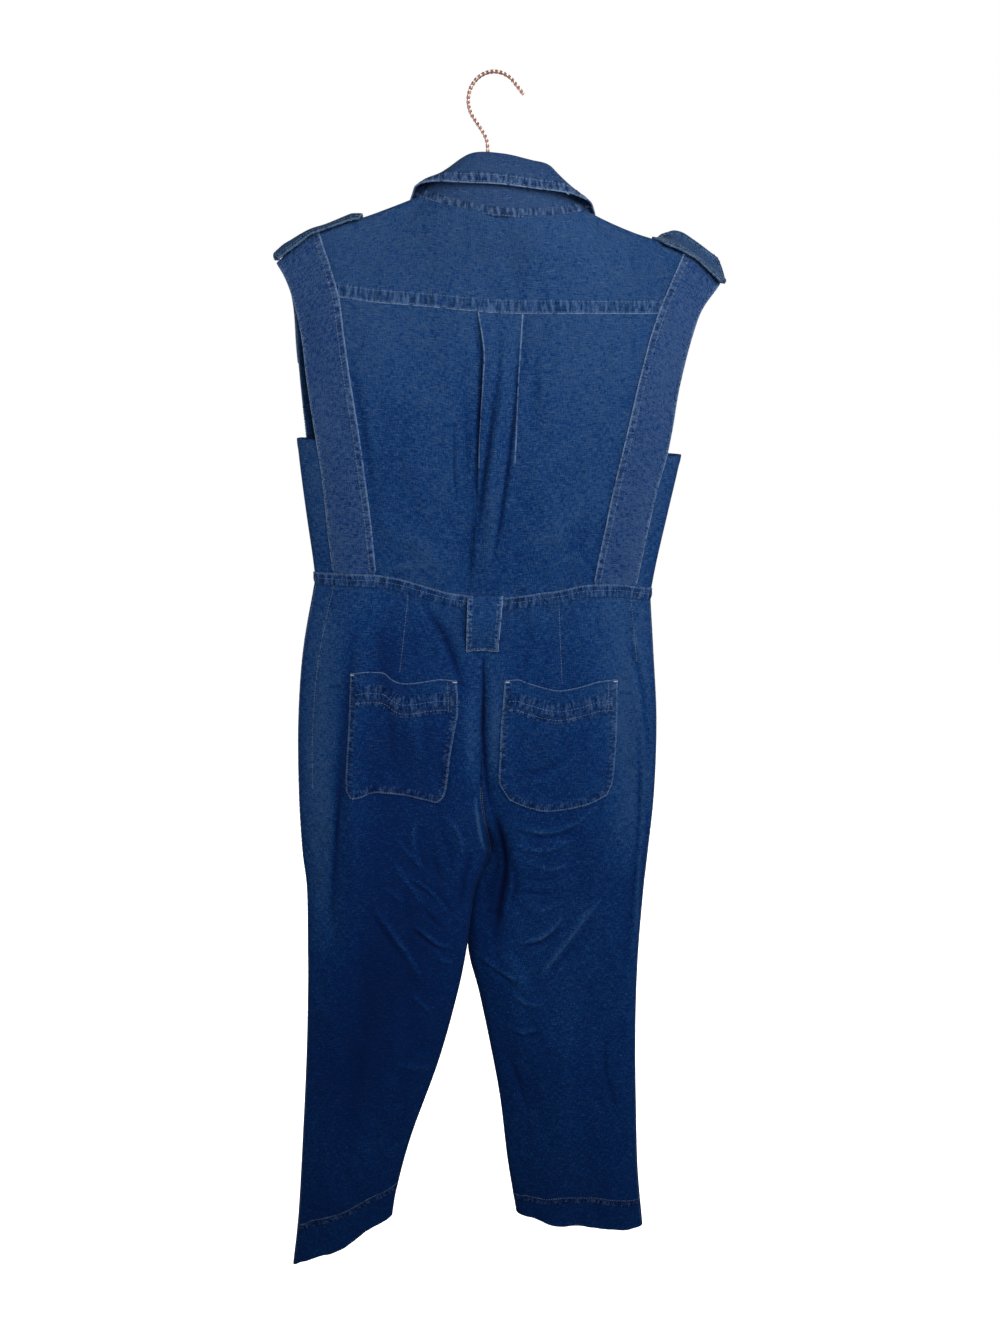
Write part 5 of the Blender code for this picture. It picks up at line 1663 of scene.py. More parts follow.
@dataclass
class ArmholeBands(Assembly):
    """The wide bands from the shoulders to the waist, over the back's side edges."""

    low_z: float = -515.0
    settle: float = 15.0
    gap: float = 7.9            # above the waist seam, where the narrow band starts

    def place(self, side: Side, u: Array, v: Array) -> Array:
        """A band's points.

        Args:
            side: which band.
            u: from its inner edge to its outer one.
            v: from the shoulder to the waist.

        Returns:
            The points.
        """
        inner_top, outer_top = BAND_TOP[side]
        table = BAND[side]
        start = inner_top + (outer_top - inner_top) * u
        low_x = table("inner", self.low_z) * (1 - u) + table("outer", self.low_z) * u
        top = SHOULDER("z", start) - RIDGE_START
        low = WAIST[Face.BACK]("z", low_x) + self.gap
        z = top + (low - top) * (1 - np.cos(math.pi / 2 * v))
        shift = start - (table("inner", top) * (1 - u) + table("outer", top) * u)
        x = table("inner", z) * (1 - u) + table("outer", z) * u
        return bodice_point(Face.BACK, x + shift * np.exp(-((top - z) / self.settle)), z)

    def build(self) -> None:
        """Makes both bands."""
        for side in Side:
            place = partial(self.place, side)
            columns = divide(place, 0, 0.6, 2.4, edges=(0.6, 1.4, 2.4, 3.8, 5.2, 6.6, 8.0))
            rows = divide(place, 1, 0.5, 2.6, edges=(0.8, 2.0))
            band = Panel("armhole_band_" + side.value, place, columns, rows, lift=LAYER,
                         outward=side is Side.LEFT)
            band.sew(Border.LOW_U, width=8.0, rows=(1.4, 6.6), pitch=7.0, swell=0.42, step=0.35, roping=0.7)
            band.sew(Border.HIGH_U, width=4.2, rows=(2.2,), pitch=6.0, swell=0.25, step=0.2, roping=0.7)
            self.cut(band, Finish.BAND, Sheet(0.055, 0.39, 0.92), "back_yoke", "back_bodice",
                     slot="denim_trim")
        self.sew("stitches_bands")


@dataclass(frozen=True)
class Leg:
    """One leg's form, from its waist seam, s 0, to its hem, s 11."""

    side: Side
    table: Table
    folds: dict[Face, tuple[Table, ...]]
    hem: Table              # how far the hem hangs below or above its straight line

    def fold_lift(self, face: Face, x: Array, z: Array) -> Array:
        """How far the leg's large folds stand out at x, z.

        Args:
            face: back or front.
            x: places across.
            z: heights.

        Returns:
            The lift at each place.
        """
        lift = np.zeros(np.broadcast(x, z).shape)
        for fold in self.folds[face]:
            inside = (z <= fold.key[-1]) & (z >= fold.key[0])
            across = (x - fold("x", z)) / fold("width", z)
            lift = lift + np.where(inside, fold("depth", z) * np.exp(-(across**2)), 0.0)
        return lift

    def point(self, face: Face, q: Array, s: Array) -> Array:
        """A point on the leg's face.

        Args:
            face: back or front.
            q: -1 at the side seam to 1 at the inner seam.
            s: 0 at the waist to 11 at the hem.

        Returns:
            The point.
        """
        leg, part = self.table, face.name.lower()
        across = (1 + np.sin(math.pi / 2 * q)) / 2
        outer_x, inner_x = leg("outer_x", s), leg("inner_x", s)
        x = outer_x + (inner_x - outer_x) * across
        level = leg("outer_z", s) + (leg("inner_z", s) - leg("outer_z", s)) * across
        first = leg("outer_z", 0.0) + (leg("inner_z", 0.0) - leg("outer_z", 0.0)) * across
        z = level + (WAIST[face]("z", x) - first) * (1 - ease(s))
        z = z + self.hem("back" if face is Face.BACK else "front", across) * ease((s - 9.2) / 1.8)
        width = np.abs(inner_x - outer_x)
        full, seam = leg(part, s), np.maximum(leg(part + "_seam", s), 0.0)
        seam = full - (full - seam) * (0.3 + 0.7 * ease((s - 3.2) / 0.8))
        depth = seam + (full - seam) * round_edge((1 - across) * width, leg("inner_round", s))
        depth = depth * round_edge(across * width, SIDE_ROUND)
        hold = round_edge(across * width, 30.0) * round_edge((1 - across) * width, 14.0)
        depth = depth + self.fold_lift(face, x, z) * hold
        middle = leg("middle", s) * across**2
        return np.stack([x, middle + face.value * depth, z], axis=-1)

    def station(self, face: Face, x: Array, z: Array) -> tuple[Array, Array]:
        """The q and s of the leg's point at x, z, found by halving.

        Args:
            face: back or front.
            x: places across.
            z: heights.

        Returns:
            q and s.
        """
        low, high = np.zeros_like(x), np.full_like(x, self.table.key[-1])
        for _ in range(30):
            s = (low + high) / 2
            outer_x, inner_x = self.table("outer_x", s), self.table("inner_x", s)
            across = np.clip((x - outer_x) / (inner_x - outer_x), 0.0, 1.0)
            q = 2 / math.pi * np.arcsin(2 * across - 1)
            above = self.point(face, q, s)[..., 2] > z
            low, high = np.where(above, s, low), np.where(above, high, s)
        return q, s


LEG_COLUMNS = "s outer_x outer_z inner_x inner_z back front back_seam front_seam inner_round middle"
LEGS = {
    Side.LEFT: Leg(
        Side.LEFT,
        Table(
            LEG_COLUMNS,
            (0.0, -207, -515.5, -6, -541, 22.3, 24.3, 22.3, 24.3, 60, 0),
            (1.0, -226, -602, -12.6, -603, 30, 27, 26, 27, 45, 0),
            (2.0, -237, -690, -15.5, -690, 34, 28, 20, 28, 36, 0),
            (3.0, -242, -785, -16.5, -780, 34, 28, 13, 21, 32, 0),
            (4.0, -242.5, -866, -6.2, -866, 32, 28, 0, 0, 32, 0),
            (5.0, -240, -920, -25.3, -919, 31, 27, 0, 0, 40, -5),
            (6.0, -243.5, -1003, -36.6, -1003, 30, 27, 0, 0, 55, -5),
            (7.0, -247.5, -1075, -49.5, -1074, 29, 26, 0, 0, 75, -2),
            (8.0, -256, -1185, -76, -1181, 27, 25, 0, 0, 80, 0),
            (9.0, -269, -1320, -117, -1308, 25, 23, 0, 0, 75, 0),
            (10.0, -282.5, -1448, -139.5, -1398, 23, 21, 0, 0, 70, 0),
            (11.0, -295.6, -1538.5, -148, -1447, 22, 20, 0, 0, 70, 0),
        ),
        {
            Face.BACK: (
                Table("z x width depth", (-535, -150, 14, 0), (-600, -158, 16, 3.5), (-700, -165, 18, 4.5),
                      (-850, -176, 20, 5), (-1000, -192, 22, 5), (-1200, -215, 24, 3.5),
                      (-1420, -240, 24, 1.5)),
                Table("z x width depth", (-600, -60, 26, 0), (-680, -52, 26, 3), (-780, -45, 24, 5),
                      (-860, -52, 24, 3), (-930, -60, 26, 0)),
            ),
            Face.FRONT: (
                Table("z x width depth", (-560, -140, 18, 0), (-700, -150, 20, 4), (-1000, -170, 24, 4),
                      (-1300, -205, 24, 2), (-1450, -225, 24, 1)),
            ),
        },
        Table("across back front", (0.0, 0, 0), (0.12, 4, 2), (0.25, 5, 4), (0.45, 1, 2), (0.62, 4, 3),
              (0.78, 10, 8), (0.9, 6, 5), (1.0, 0, 0)),
    ),
    Side.RIGHT: Leg(
        Side.RIGHT,
        Table(
            LEG_COLUMNS,
            (0.0, 180, -534, -6, -541, 22.3, 24.3, 22.3, 24.3, 60, 0),
            (1.0, 186.6, -602, -12.6, -603, 30, 27, 26, 27, 45, 0),
            (2.0, 194.5, -690, -15.5, -690, 34, 28, 20, 28, 36, 0),
            (3.0, 196, -785, -16.5, -780, 34, 28, 13, 21, 32, 0),
            (4.0, 192, -866, -6.2, -866, 32, 28, 0, 0, 36, 0),
            (5.0, 188.8, -920, -25.8, -919, 31, 27, 0, 0, 45, 5),
            (6.0, 186, -1003, -36.2, -1003, 30, 27, 0, 0, 55, 5),
            (7.0, 185.8, -1075, -22, -1075, 29, 26, 0, 0, 70, 2),
            (8.0, 188, -1160, -7.5, -1156, 28, 25, 0, 0, 80, 0),
            (9.0, 192.5, -1250, 6, -1245, 27, 24, 0, 0, 80, 0),
            (10.0, 199.5, -1365, 16.5, -1350, 24, 22, 0, 0, 75, 0),
            (11.0, 210.5, -1467, 28.9, -1440, 22, 20, 0, 0, 70, 0),
        ),
        {
            Face.BACK: (
                Table("z x width depth", (-640, -4, 8, 0), (-730, -8, 8, -2), (-770, -1, 9, -3),
                      (-826, 5, 10, -5.5), (-883, 0, 16, -13), (-925, -4, 18, -13), (-985, -12, 16, -5),
                      (-1020, -16, 16, 0)),
                Table("z x width depth", (-560, 150, 12, 0), (-640, 152, 14, -3), (-760, 160, 16, -4),
                      (-900, 158, 18, -2.5), (-1000, 156, 20, 0)),
            ),
            Face.FRONT: (
                Table("z x width depth", (-580, 120, 18, 0), (-720, 118, 20, 4), (-1000, 110, 24, 4),
                      (-1300, 115, 24, 2), (-1420, 120, 24, 1)),
            ),
        },
        Table("across back front", (0.0, 2, 2), (0.1, 2.5, 3), (0.3, 3.5, 4), (0.55, 4, 5), (0.75, 2, 4),
              (0.88, 5, 4), (1.0, 0, 0)),
    ),
}


@dataclass
class Trousers(Assembly):
    """The four leg panels, with darts, centre and side seams and turned-up hems."""

    hems: dict[Side, Table] = field(default_factory=lambda: {
        Side.LEFT: Table("across depth", (0, 73), (0.2, 73), (0.35, 72), (0.6, 69), (0.84, 61), (1, 61)),
        Side.RIGHT: Table("across depth", (0, 50), (0.15, 54), (0.3, 55), (0.45, 52.5), (0.6, 51.5),
                          (0.75, 46), (0.9, 39), (1, 34)),
    })
    dart: dict[Side, Path] = field(default_factory=lambda: {
        Side.LEFT: ((-99, -532), (-104, -575), (-110, -620)),
        Side.RIGHT: ((73, -532), (75, -580), (78, -633)),
    })

    def place(self, side: Side, face: Face, q: Array, s: Array) -> Array:
        """A leg panel's points.

        Args:
            side: which leg.
            face: back or front.
            q: -1 at the side seam to 1 at the inner seam.
            s: 0 at the waist to 11 at the hem.

        Returns:
            The points.
        """
        point = LEGS[side].point(face, q, s)
        point[..., 0] += side.sign * np.clip(q, 0.0, 1.0) ** 4 * SEAM_GAP / 2
        point[..., 2] -= WAIST_GAP * (1 - ease(s))
        return point

    def build(self) -> None:
        """Makes the panels."""
        sheets = {Face.BACK: Sheet(0.29, 1.02, 0.82), Face.FRONT: Sheet(0.27, 1.0, 0.84)}
        for side in Side:
            for face in Face:
                self.build_panel(side, face, sheets[face])
        self.sew("stitches_trousers")

    def build_panel(self, side: Side, face: Face, sheet: Sheet) -> None:
        """Makes one panel.

        Args:
            side: which leg.
            face: back or front.
            sheet: its cut.
        """
        place = partial(self.place, side, face)
        back = face is Face.BACK
        step = 2.15 if back else 4.6
        columns = divide(place, 0, 2.5, step, (-0.991, 0.991), (0.8, 1.8, 3.2, 5.0, 7.0, 9.0))
        edges = (0.8, 2.2, 4.5, 8.0)
        lengths = (((0.0, 3.0, 3.6, edges), (3.0, 7.4, 2.2, ()), (7.4, 11.0, 4.2, edges)) if back
                   else ((0.0, 11.0, 5.1, edges),))
        panel = Panel(f"leg_{face.name.lower()}_{side.value}", place, columns,
                      cuts(place, 1, 0.1, *lengths), outward=(side is Side.RIGHT) == back)
        self.sew_sides(panel, side, back)
        self.sew_hem(panel, side)
        panel.sew(Border.LOW_V, width=14.0, rows=(), pitch=9.0, swell=0.5, step=0.0, worn=False, roping=0.15)
        if back:
            line = smooth_path(self.dart[side])
            panel.stitch(*LEGS[side].station(face, line[:, 0], line[:, 1]), width=3.0, rows=(0.0,),
                         pitch=9.0, swell=0.1, step=-0.25, worn=False, roping=0.15)
        self.cut(panel, Finish.DENIM, sheet)

    def sew_sides(self, panel: Panel, side: Side, back: bool) -> None:
        """Sews a panel's side seam, and its inner seam in three lengths.

        Args:
            panel: the panel.
            side: which leg.
            back: True on the back panels.
        """
        panel.sew(Border.LOW_U, width=7.0, rows=(5.5,) if back else (), pitch=8.0, swell=0.3, step=0.25,
                  worn=False, roping=0.8)
        if back:
            beside = panel.line(Border.LOW_U, 30.0, 0.0, 0.26 if side is Side.LEFT else 0.1)
            panel.stitch(*beside, width=3.5, rows=(0.0,), pitch=8.0, swell=0.25, step=0.0, worn=False,
                         roping=0.6)
        for start, stop, width, rows, swell, step, worn, roping in (
            (0.0, 0.26, 7.0, () if back else (4.0,), 0.3, 0.4, False, 0.1),
            (0.26, 0.37, 5.0, (2.0,) if back else (4.0,), 0.3, 0.4, side is Side.LEFT, 0.3),
            (0.37, 1.0, 6.0, (), 0.2, 0.2, False, 0.1),
        ):
            panel.sew(Border.HIGH_U, start, stop, width=width, rows=rows, pitch=9.0, swell=swell, step=step,
                      worn=worn, roping=roping)

    def sew_hem(self, panel: Panel, side: Side) -> None:
        """Sews a panel's turned-up hem, with a rope of puckers beside its stitches.

        Args:
            panel: the panel.
            side: which leg.
        """
        across = np.linspace(panel.columns[0], panel.columns[-1], 160)
        depth = self.hems[side]("depth", (1 + np.sin(math.pi / 2 * across)) / 2)
        panel.stitch(*panel.line(Border.HIGH_V, depth, count=160), width=1.5, rows=(0.0,), pitch=7.5,
                     swell=0.2, step=0.0, roping=0.3)
        panel.stitch(*panel.line(Border.HIGH_V, depth - 5.0, count=160), width=4.5, rows=(), pitch=6.0,
                     swell=0.5, step=0.0, worn=False, roping=2.2)
        panel.sew(Border.HIGH_V, width=3.0, rows=(), pitch=12.0, swell=0.2, step=0.2, worn=False, roping=0.6)


@dataclass
class Waistband(Assembly):
    """The narrow stitched band over the waist seam."""

    up: float = 7.5
    down: float = 7.0
    middle: float = -13.5
    half: float = 193.6
    left: float = -206.9
    right: float = 179.9
    placket: float = 16.5       # half of what the placket takes at centre front
    thin: float = 0.9
    splay: float = 0.12         # how it stands out below the seam, per millimetre down

    def place(self, face: Face, first_x: float, last_x: float, u: Array, v: Array) -> Array:
        """The band's points between two x values.

        Args:
            face: back or front.
            first_x: where u is 0.
            last_x: where u is 1.
            u: from left to right.
            v: from the top edge down.

        Returns:
            The points.
        """
        start = math.asin(max(-1.0, (first_x - self.middle) / self.half))
        stop = math.asin(min(1.0, (last_x - self.middle) / self.half))
        x = self.middle + self.half * np.sin(start + (stop - start) * u)
        seam = WAIST[face]("z", x)
        z = seam + self.up - (self.up + self.down) * v
        inside = np.clip(x, BODICE("left", z) + 0.005, BODICE("right", z) - 0.005)
        point = bodice_point(face, inside, np.maximum(z, seam))
        edge = np.minimum(inside - BODICE("left", z), BODICE("right", z) - inside)
        point[..., 1] += face.value * self.splay * np.maximum(seam - z, 0.0) * round_edge(edge, SIDE_ROUND)
        point[..., 2] = z
        return point

    def press(self, us: Array, vs: Array, points: Array) -> Array:
        """The band is pressed flat to the trousers towards its lower edge."""
        return -self.thin * ease((vs - 0.55) / 0.45)

    def build(self) -> None:
        """Makes the band's three lengths."""
        centre = float(CENTRE_FRONT("x", -541.0))
        lengths = (("back", Face.BACK, self.left, self.right, 0.40),
                   ("front_left", Face.FRONT, self.left, centre - self.placket, 0.20),
                   ("front_right", Face.FRONT, centre + self.placket, self.right, 0.19))
        for name, face, first, last, length_m in lengths:
            place = partial(self.place, face, first, last)
            columns = divide(place, 0, 0.5, 1.7, edges=(0.5, 1.2))
            rows = divide(place, 1, 0.5, 1.5, edges=(0.5, 1.2))
            band = Panel("waistband_" + name, place, columns, rows, lift=LAYER, wall=self.thin,
                         outward=face is Face.FRONT, extra_lift=self.press)
            band.sew(Border.LOW_V, width=14.0, rows=(1.5, 12.9), pitch=6.4, swell=0.7, step=0.0, roping=1.0)
            self.cut(band, Finish.POCKET, Sheet(length_m, 0.0145), slot="denim_trim")
        self.sew("stitches_waist")


@dataclass
class Pockets(Assembly):
    """The two back patch pockets, each inside four curved sides."""

    outlines: dict[Side, dict[str, Path]] = field(default_factory=lambda: {
        Side.LEFT: {
            "mouth": ((-166, -621), (-151, -618.5), (-140, -619), (-128, -620.5), (-119, -628),
                      (-109, -632.5), (-93, -632), (-66, -628), (-44, -630)),
            "foot": ((-171, -776.5), (-160, -775), (-143, -771), (-113, -774), (-84, -781), (-70, -783.5)),
            "outer": ((-166, -621), (-169, -666), (-172.5, -705), (-176, -741), (-177, -763), (-175.5, -771),
                      (-171, -776.5)),
            "inner": ((-44, -630), (-43.5, -668), (-48, -693), (-53, -724), (-57, -758), (-61, -775),
                      (-70, -783.5)),
        },
        Side.RIGHT: {
            "mouth": ((12, -629), (28, -629), (36, -632), (60, -639), (78, -641), (98, -637), (120, -631),
                      (142, -631)),
            "foot": ((17, -780), (36, -790), (62, -796), (90, -792), (116, -785), (134, -775)),
            "outer": ((12, -629), (8, -681), (6, -730), (6, -758), (17, -780)),
            "inner": ((142, -631), (143, -693), (142, -735), (140, -760), (134, -775)),
        },
    })
    gape: float = 1.6

    def on(self, line: Array, share: Array) -> Array:
        """Points on a line, at shares of its length."""
        run = run_of(line)
        return np.stack([np.interp(share * run[-1], run, line[:, k]) for k in (0, 1)], axis=-1)

    def flat(self, side: Side, u: Array, v: Array) -> tuple[Array, Array]:
        """Places inside a pocket's outline.

        Args:
            side: which pocket.
            u: from its left side to its right one.
            v: from mouth to foot.

        Returns:
            x and z.
        """
        mouth, foot, outer, inner = (smooth_path(self.outlines[side][name], 12)
                                     for name in ("mouth", "foot", "outer", "inner"))
        uu, vv = u[..., None], v[..., None]
        corners = ((1 - uu) * (1 - vv) * mouth[0] + uu * (1 - vv) * mouth[-1]
                   + (1 - uu) * vv * foot[0] + uu * vv * foot[-1])
        flat = ((1 - vv) * self.on(mouth, u) + vv * self.on(foot, u)
                + (1 - uu) * self.on(outer, v) + uu * self.on(inner, v) - corners)
        return flat[..., 0], flat[..., 1]

    def place(self, side: Side, u: Array, v: Array) -> Array:
        """A pocket's points on its leg.

        Args:
            side: which pocket.
            u: from its left side to its right one.
            v: from mouth to foot.

        Returns:
            The points.
        """
        leg = LEGS[side]
        x, z = self.flat(side, u, v)
        point = leg.point(Face.BACK, *leg.station(Face.BACK, x, z))
        point[..., 1] -= self.gape * np.sin(math.pi * np.clip(u, 0, 1)) * (1 - v) ** 2
        return point

    def build(self) -> None:
        """Makes the pockets, with their hemmed mouths and corner tacks."""
        tacks = []
        edges = (0.6, 1.4, 2.6, 4.2, 6.0, 8.0, 10.0)
        for side in Side:
            place = partial(self.place, side)
            columns, rows = (divide(place, along, 0.5, 2.3, edges=edges) for along in (0, 1))
            pocket = Panel("pocket_" + side.value, place, columns, rows, lift=LAYER + 0.4)
            for border in (Border.LOW_U, Border.HIGH_U):
                pocket.sew(border, width=8.5, rows=(1.6,), pitch=7.5, swell=0.42, step=0.3)
            pocket.sew(Border.HIGH_V, width=10.0, rows=(1.6,), pitch=8.0, swell=0.5, step=0.3, roping=1.1)
            pocket.sew(Border.LOW_V, width=2.4, rows=(), pitch=9.0, swell=0.1, step=0.35, roping=0.4)
            for border, inset, start, stop, width, swell in (
                (Border.LOW_V, 26.0, 0.06, 0.94, 11.0, 0.5),
                (Border.HIGH_U, 11.0, 0.03, 0.24, 3.0, 0.3),
                (Border.LOW_V, 37.0, 0.06, 0.94, 5.0, 0.3),
            ):
                pocket.stitch(*pocket.line(border, inset, start, stop), width=width, rows=(0.0,), pitch=7.5,
                              swell=swell, step=0.0, worn=False)
            self.cut(pocket, Finish.POCKET, Sheet(0.135, 0.165, 0.95), "leg_back_" + side.value)
            tacks += [self.tack(pocket, u) for u in (0.02, 0.98)]
        self.sew("stitches_pockets")
        self.lines = tacks
        self.sew("pocket_tacks", StitchMaker(length=2.2, pitch=0.8, thick=1.5), Finish.BARTACK)

    def tack(self, pocket: Panel, u: float) -> Array:
        """The line of a bartack at a mouth's corner."""
        us = np.linspace(u - 0.012, u + 0.012, 5)
        return pocket.at(us, np.full(5, 0.012), 0.5)


@dataclass
class BeltLoop(Assembly):
    """The wide belt loop at centre back."""

    half: float = 20.0
    x: float = -10.5
    top: float = -532.0
    bottom: float = -595.0
    seat_z: float = -536.0      # where it lies on the waistband
    foot_s: float = 0.9         # where it is sewn to the leg
    narrows: float = 1.6
    leans: float = 4.0
    standoff: float = 5.5

    def place(self, u: Array, v: Array) -> Array:
        """The loop's points, a little narrower at its foot.

        Args:
            u: from left to right.
            v: from top to foot.

        Returns:
            The points.
        """
        x = self.x + (self.half - self.narrows * v) * (2 * u - 1) - self.leans * v
        z = self.top + (self.bottom - self.top) * v + 1.5 * np.sin(math.pi * u) * v
        seat = bodice_depth(Face.BACK, np.full_like(x, self.x), np.full_like(x, self.seat_z)) + LAYER
        low = np.full_like(x, LEGS[Side.LEFT].table("back", self.foot_s))
        depth = seat + (low - seat) * v + self.standoff * np.sin(math.pi * v)
        return np.stack([x, -depth, z], axis=-1)

    def ripple(self, us: Array, vs: Array, points: Array) -> Array:
        """The loop's uneven face, from side to side."""
        return 0.35 * np.sin(us * 17.0 + 1.0) + 0.2 * np.sin(us * 41.0)

    def build(self) -> None:
        """Makes the loop."""
        columns = divide(self.place, 0, 0.5, 1.8, edges=(0.5, 1.2, 2.2, 3.4))
        rows = divide(self.place, 1, 0.5, 2.0, edges=(0.5, 1.2))
        loop = Panel("belt_loop", self.place, columns, rows, lift=TAB_WALL + 0.9, wall=TAB_WALL, drape=False,
                     extra_lift=self.ripple)
        for border in (Border.LOW_U, Border.HIGH_U):
            loop.sew(border, width=6.0, rows=(2.0,), pitch=7.0, swell=0.25, step=0.25)
        loop.sew(Border.HIGH_V, width=4.0, rows=(2.5,), pitch=7.0, swell=0.2, step=0.1)
        self.cut(loop, Finish.LOOP, Sheet(0.041, 0.068), "waistband_back", slot="denim_trim")
        self.sew("stitches_loop")


@dataclass
class Collar(Assembly):
    """Stand and fall of the shirt collar, open at centre front.

    Its angle is 0 at centre back, 90 at the right shoulder and -90 at the left one.
    """

    table: Table = Table(
        "angle top_x top_y top_z roll_x roll_y roll_z edge_x edge_y edge_z",
        (-180, 3, 28, -187, 0, 31.5, -185, -46, 30, -240),
        (-157.5, -22, 26, -174, -25, 30, -170, -74, 26, -217),
        (-135, -42, 20, -150, -44, 24, -146, -92, 22, -188),
        (-112.5, -57, 9, -122, -57, 10, -117, -94, 14, -146),
        (-101, -61, 4.5, -111, -60, 5, -105, -90, 10.5, -121),
        (-90, -64, 0, -101, -62, 0, -96, -85, 1, -110.5),
        (-67.5, -59, -11, -99, -57, -10, -93.5, -77, -19, -103.5),
        (-45, -48, -20, -99, -46, -18, -88, -59, -30, -101.5),
        (-22.5, -24, -28, -100, -22, -25, -76, -31, -36, -103.5),
        (0, 8, -30.5, -103, 8, -26, -76.5, 6, -38, -105.5),
        (22.5, 39, -28, -104, 36, -25, -82.0, 42, -36.5, -109.5),
        (45, 60, -21, -107, 56, -19, -86.5, 72, -31, -112.0),
        (67.5, 74, -11, -111, 71, -11, -102, 93, -20, -116.5),
        (90, 81, 0, -115, 79, 0, -110, 103, 1, -124),
        (101, 78, 4.5, -122, 77, 5, -117, 107.5, 10.5, -136),
        (112.5, 73, 9, -131, 73, 10, -126, 112, 14, -160),
        (135, 58, 20, -155, 60, 24, -151, 109, 22, -200),
        (157.5, 38, 26, -176, 41, 30, -172, 92, 26, -225),
        (180, 13, 28, -187, 16, 31.5, -185, 64, 30, -245),
    )
    last_angle: float = 178.5
    clearance: float = 2.6      # from the bodice to the fall's inner face
    tucked: float = 3.4         # how far the stand's foot reaches below the neck seam at the back

    def row(self, prefix: str, angle: Array) -> Array:
        """A named line of the table as x, y, z."""
        return np.stack([self.table(f"{prefix}_{axis}", angle) for axis in "xyz"], axis=-1)

    def neck_point(self, angle: Array) -> Array:
        """The neck seam.

        Args:
            angle: degrees round the neck.

        Returns:
            The neck seam's points.
        """
        turn = np.radians(angle)
        x = NECK_X + NECK_HALF * np.sin(turn)
        back = bodice_point(Face.BACK, x, NECK[Face.BACK]("z", x))
        front = bodice_point(Face.FRONT, x, NECK[Face.FRONT]("z", x))
        return np.where((np.cos(turn) > 0)[..., None], back, front)

    def proud(self, points: Array) -> Array:
        """Points held out from the bodice's face, where they lie over it.

        Args:
            points: the points as they would lie.

        Returns:
            The points, where they lie over the bodice no closer than the clearance.
        """
        x, y, z = points[..., 0], points[..., 1], points[..., 2]
        for face in Face:
            least = bodice_depth(face, x, z) + self.clearance
            over = (face.value * y > 0.5) & (SHOULDER("z", x) > z) & (np.abs(y) < least)
            y = np.where(over, face.value * least, y)
        return np.stack([x, y, z], axis=-1)

    def stand_place(self, u: Array, v: Array) -> Array:
        """The stand, round the neck.

        Args:
            u: the angle.
            v: from the neck seam up.

        Returns:
            The stand's points.
        """
        low, top = self.neck_point(u), self.row("top", u)
        tuck = self.tucked * np.clip(np.cos(np.radians(u)), 0.0, 1.0)[..., None]
        start = low + unit(top - low) * (2.0 * SEAM_GAP - tuck) + np.array([0.0, 0.0, 0.2])
        return start + (top - start) * v[..., None]

    def fall_place(self, u: Array, v: Array) -> Array:
        """The fall, over the stand.

        Args:
            u: the angle.
            v: 0 on the stand, 2 on the roll, 5 at the outer edge.

        Returns:
            The fall's points.
        """
        turn = np.radians(u)
        out = np.stack([np.sin(turn), -np.cos(turn), np.zeros_like(turn)], axis=-1)
        top, roll, edge = (self.row(name, u) for name in ("top", "roll", "edge"))
        rise = np.array([0.0, 0.0, 1.0])
        stack = np.stack([
            top + unit(roll - top) * 3.6 * SEAM_GAP,
            roll - out * 1.8 - rise * 2.0,
            roll + rise * 0.6,
            roll + out * 2.4 - rise * 1.2,
            self.proud((roll + edge) / 2 + out * 3.0),
            self.proud(edge),
        ])
        low = np.clip(np.floor(v).astype(int), 0, 4)
        rows, columns = np.indices(low.shape)
        before, here, there, after = (stack[np.clip(low + k, 0, 5), rows, columns] for k in (-1, 0, 1, 2))
        return smooth_step((v - low)[..., None], here, there, (there - before) / 2, (after - here) / 2)

    def single(self, surface: Surface, u: Array, v: Array) -> Array:
        """A surface's points, for a whole grid or for one row of parameters."""
        return surface(u[None], v[None])[0] if u.ndim == 1 else surface(u, v)

    def build(self) -> None:
        """Makes the stand and the fall."""
        span = (-self.last_angle, self.last_angle)
        stand_place = partial(self.single, self.stand_place)
        fall_place = partial(self.single, self.fall_place)
        columns = divide(fall_place, 0, 4.0, 2.2, span, (0.6, 1.6))
        rows = divide(stand_place, 1, 5.0, 2.0, edges=(0.6, 1.4))
        stand = Panel("collar_stand", stand_place, columns, rows, outward=True, drape=False)
        stand.sew(Border.LOW_V, width=9.0, rows=(1.4,), pitch=8.0, swell=0.5, step=0.3, worn=False)
        self.cut(stand, Finish.COLLAR, Sheet(0.42, 0.03, 0.9), "back_yoke")
        rows = divide(fall_place, 1, 5.0, 2.0, (0.0, 5.0), (0.6, 1.4, 2.4, 3.8, 5.4, 7.2, 9.0))
        fall = Panel("collar_fall", fall_place, columns, rows, wall=COLLAR_WALL, drape=False,
                     extra_lift=self.ripple)
        fall.sew(Border.HIGH_V, width=10.0, rows=(2.0, 8.2), pitch=8.5, swell=0.45, step=0.35)
        for border in (Border.LOW_U, Border.HIGH_U):
            fall.sew(border, width=7.0, rows=(5.0,), pitch=8.0, swell=0.3, step=0.3)
        self.cut(fall, Finish.COLLAR, Sheet(0.46, 0.075, 0.9), "collar_stand")
        self.sew("stitches_collar")

    def ripple(self, us: Array, vs: Array, points: Array) -> Array:
        """The fall isn't pressed flat: it waves a little along its edge."""
        return 0.5 * np.sin(us / 13.0 + 0.6) * ease((vs - 3.0) / 2.0)


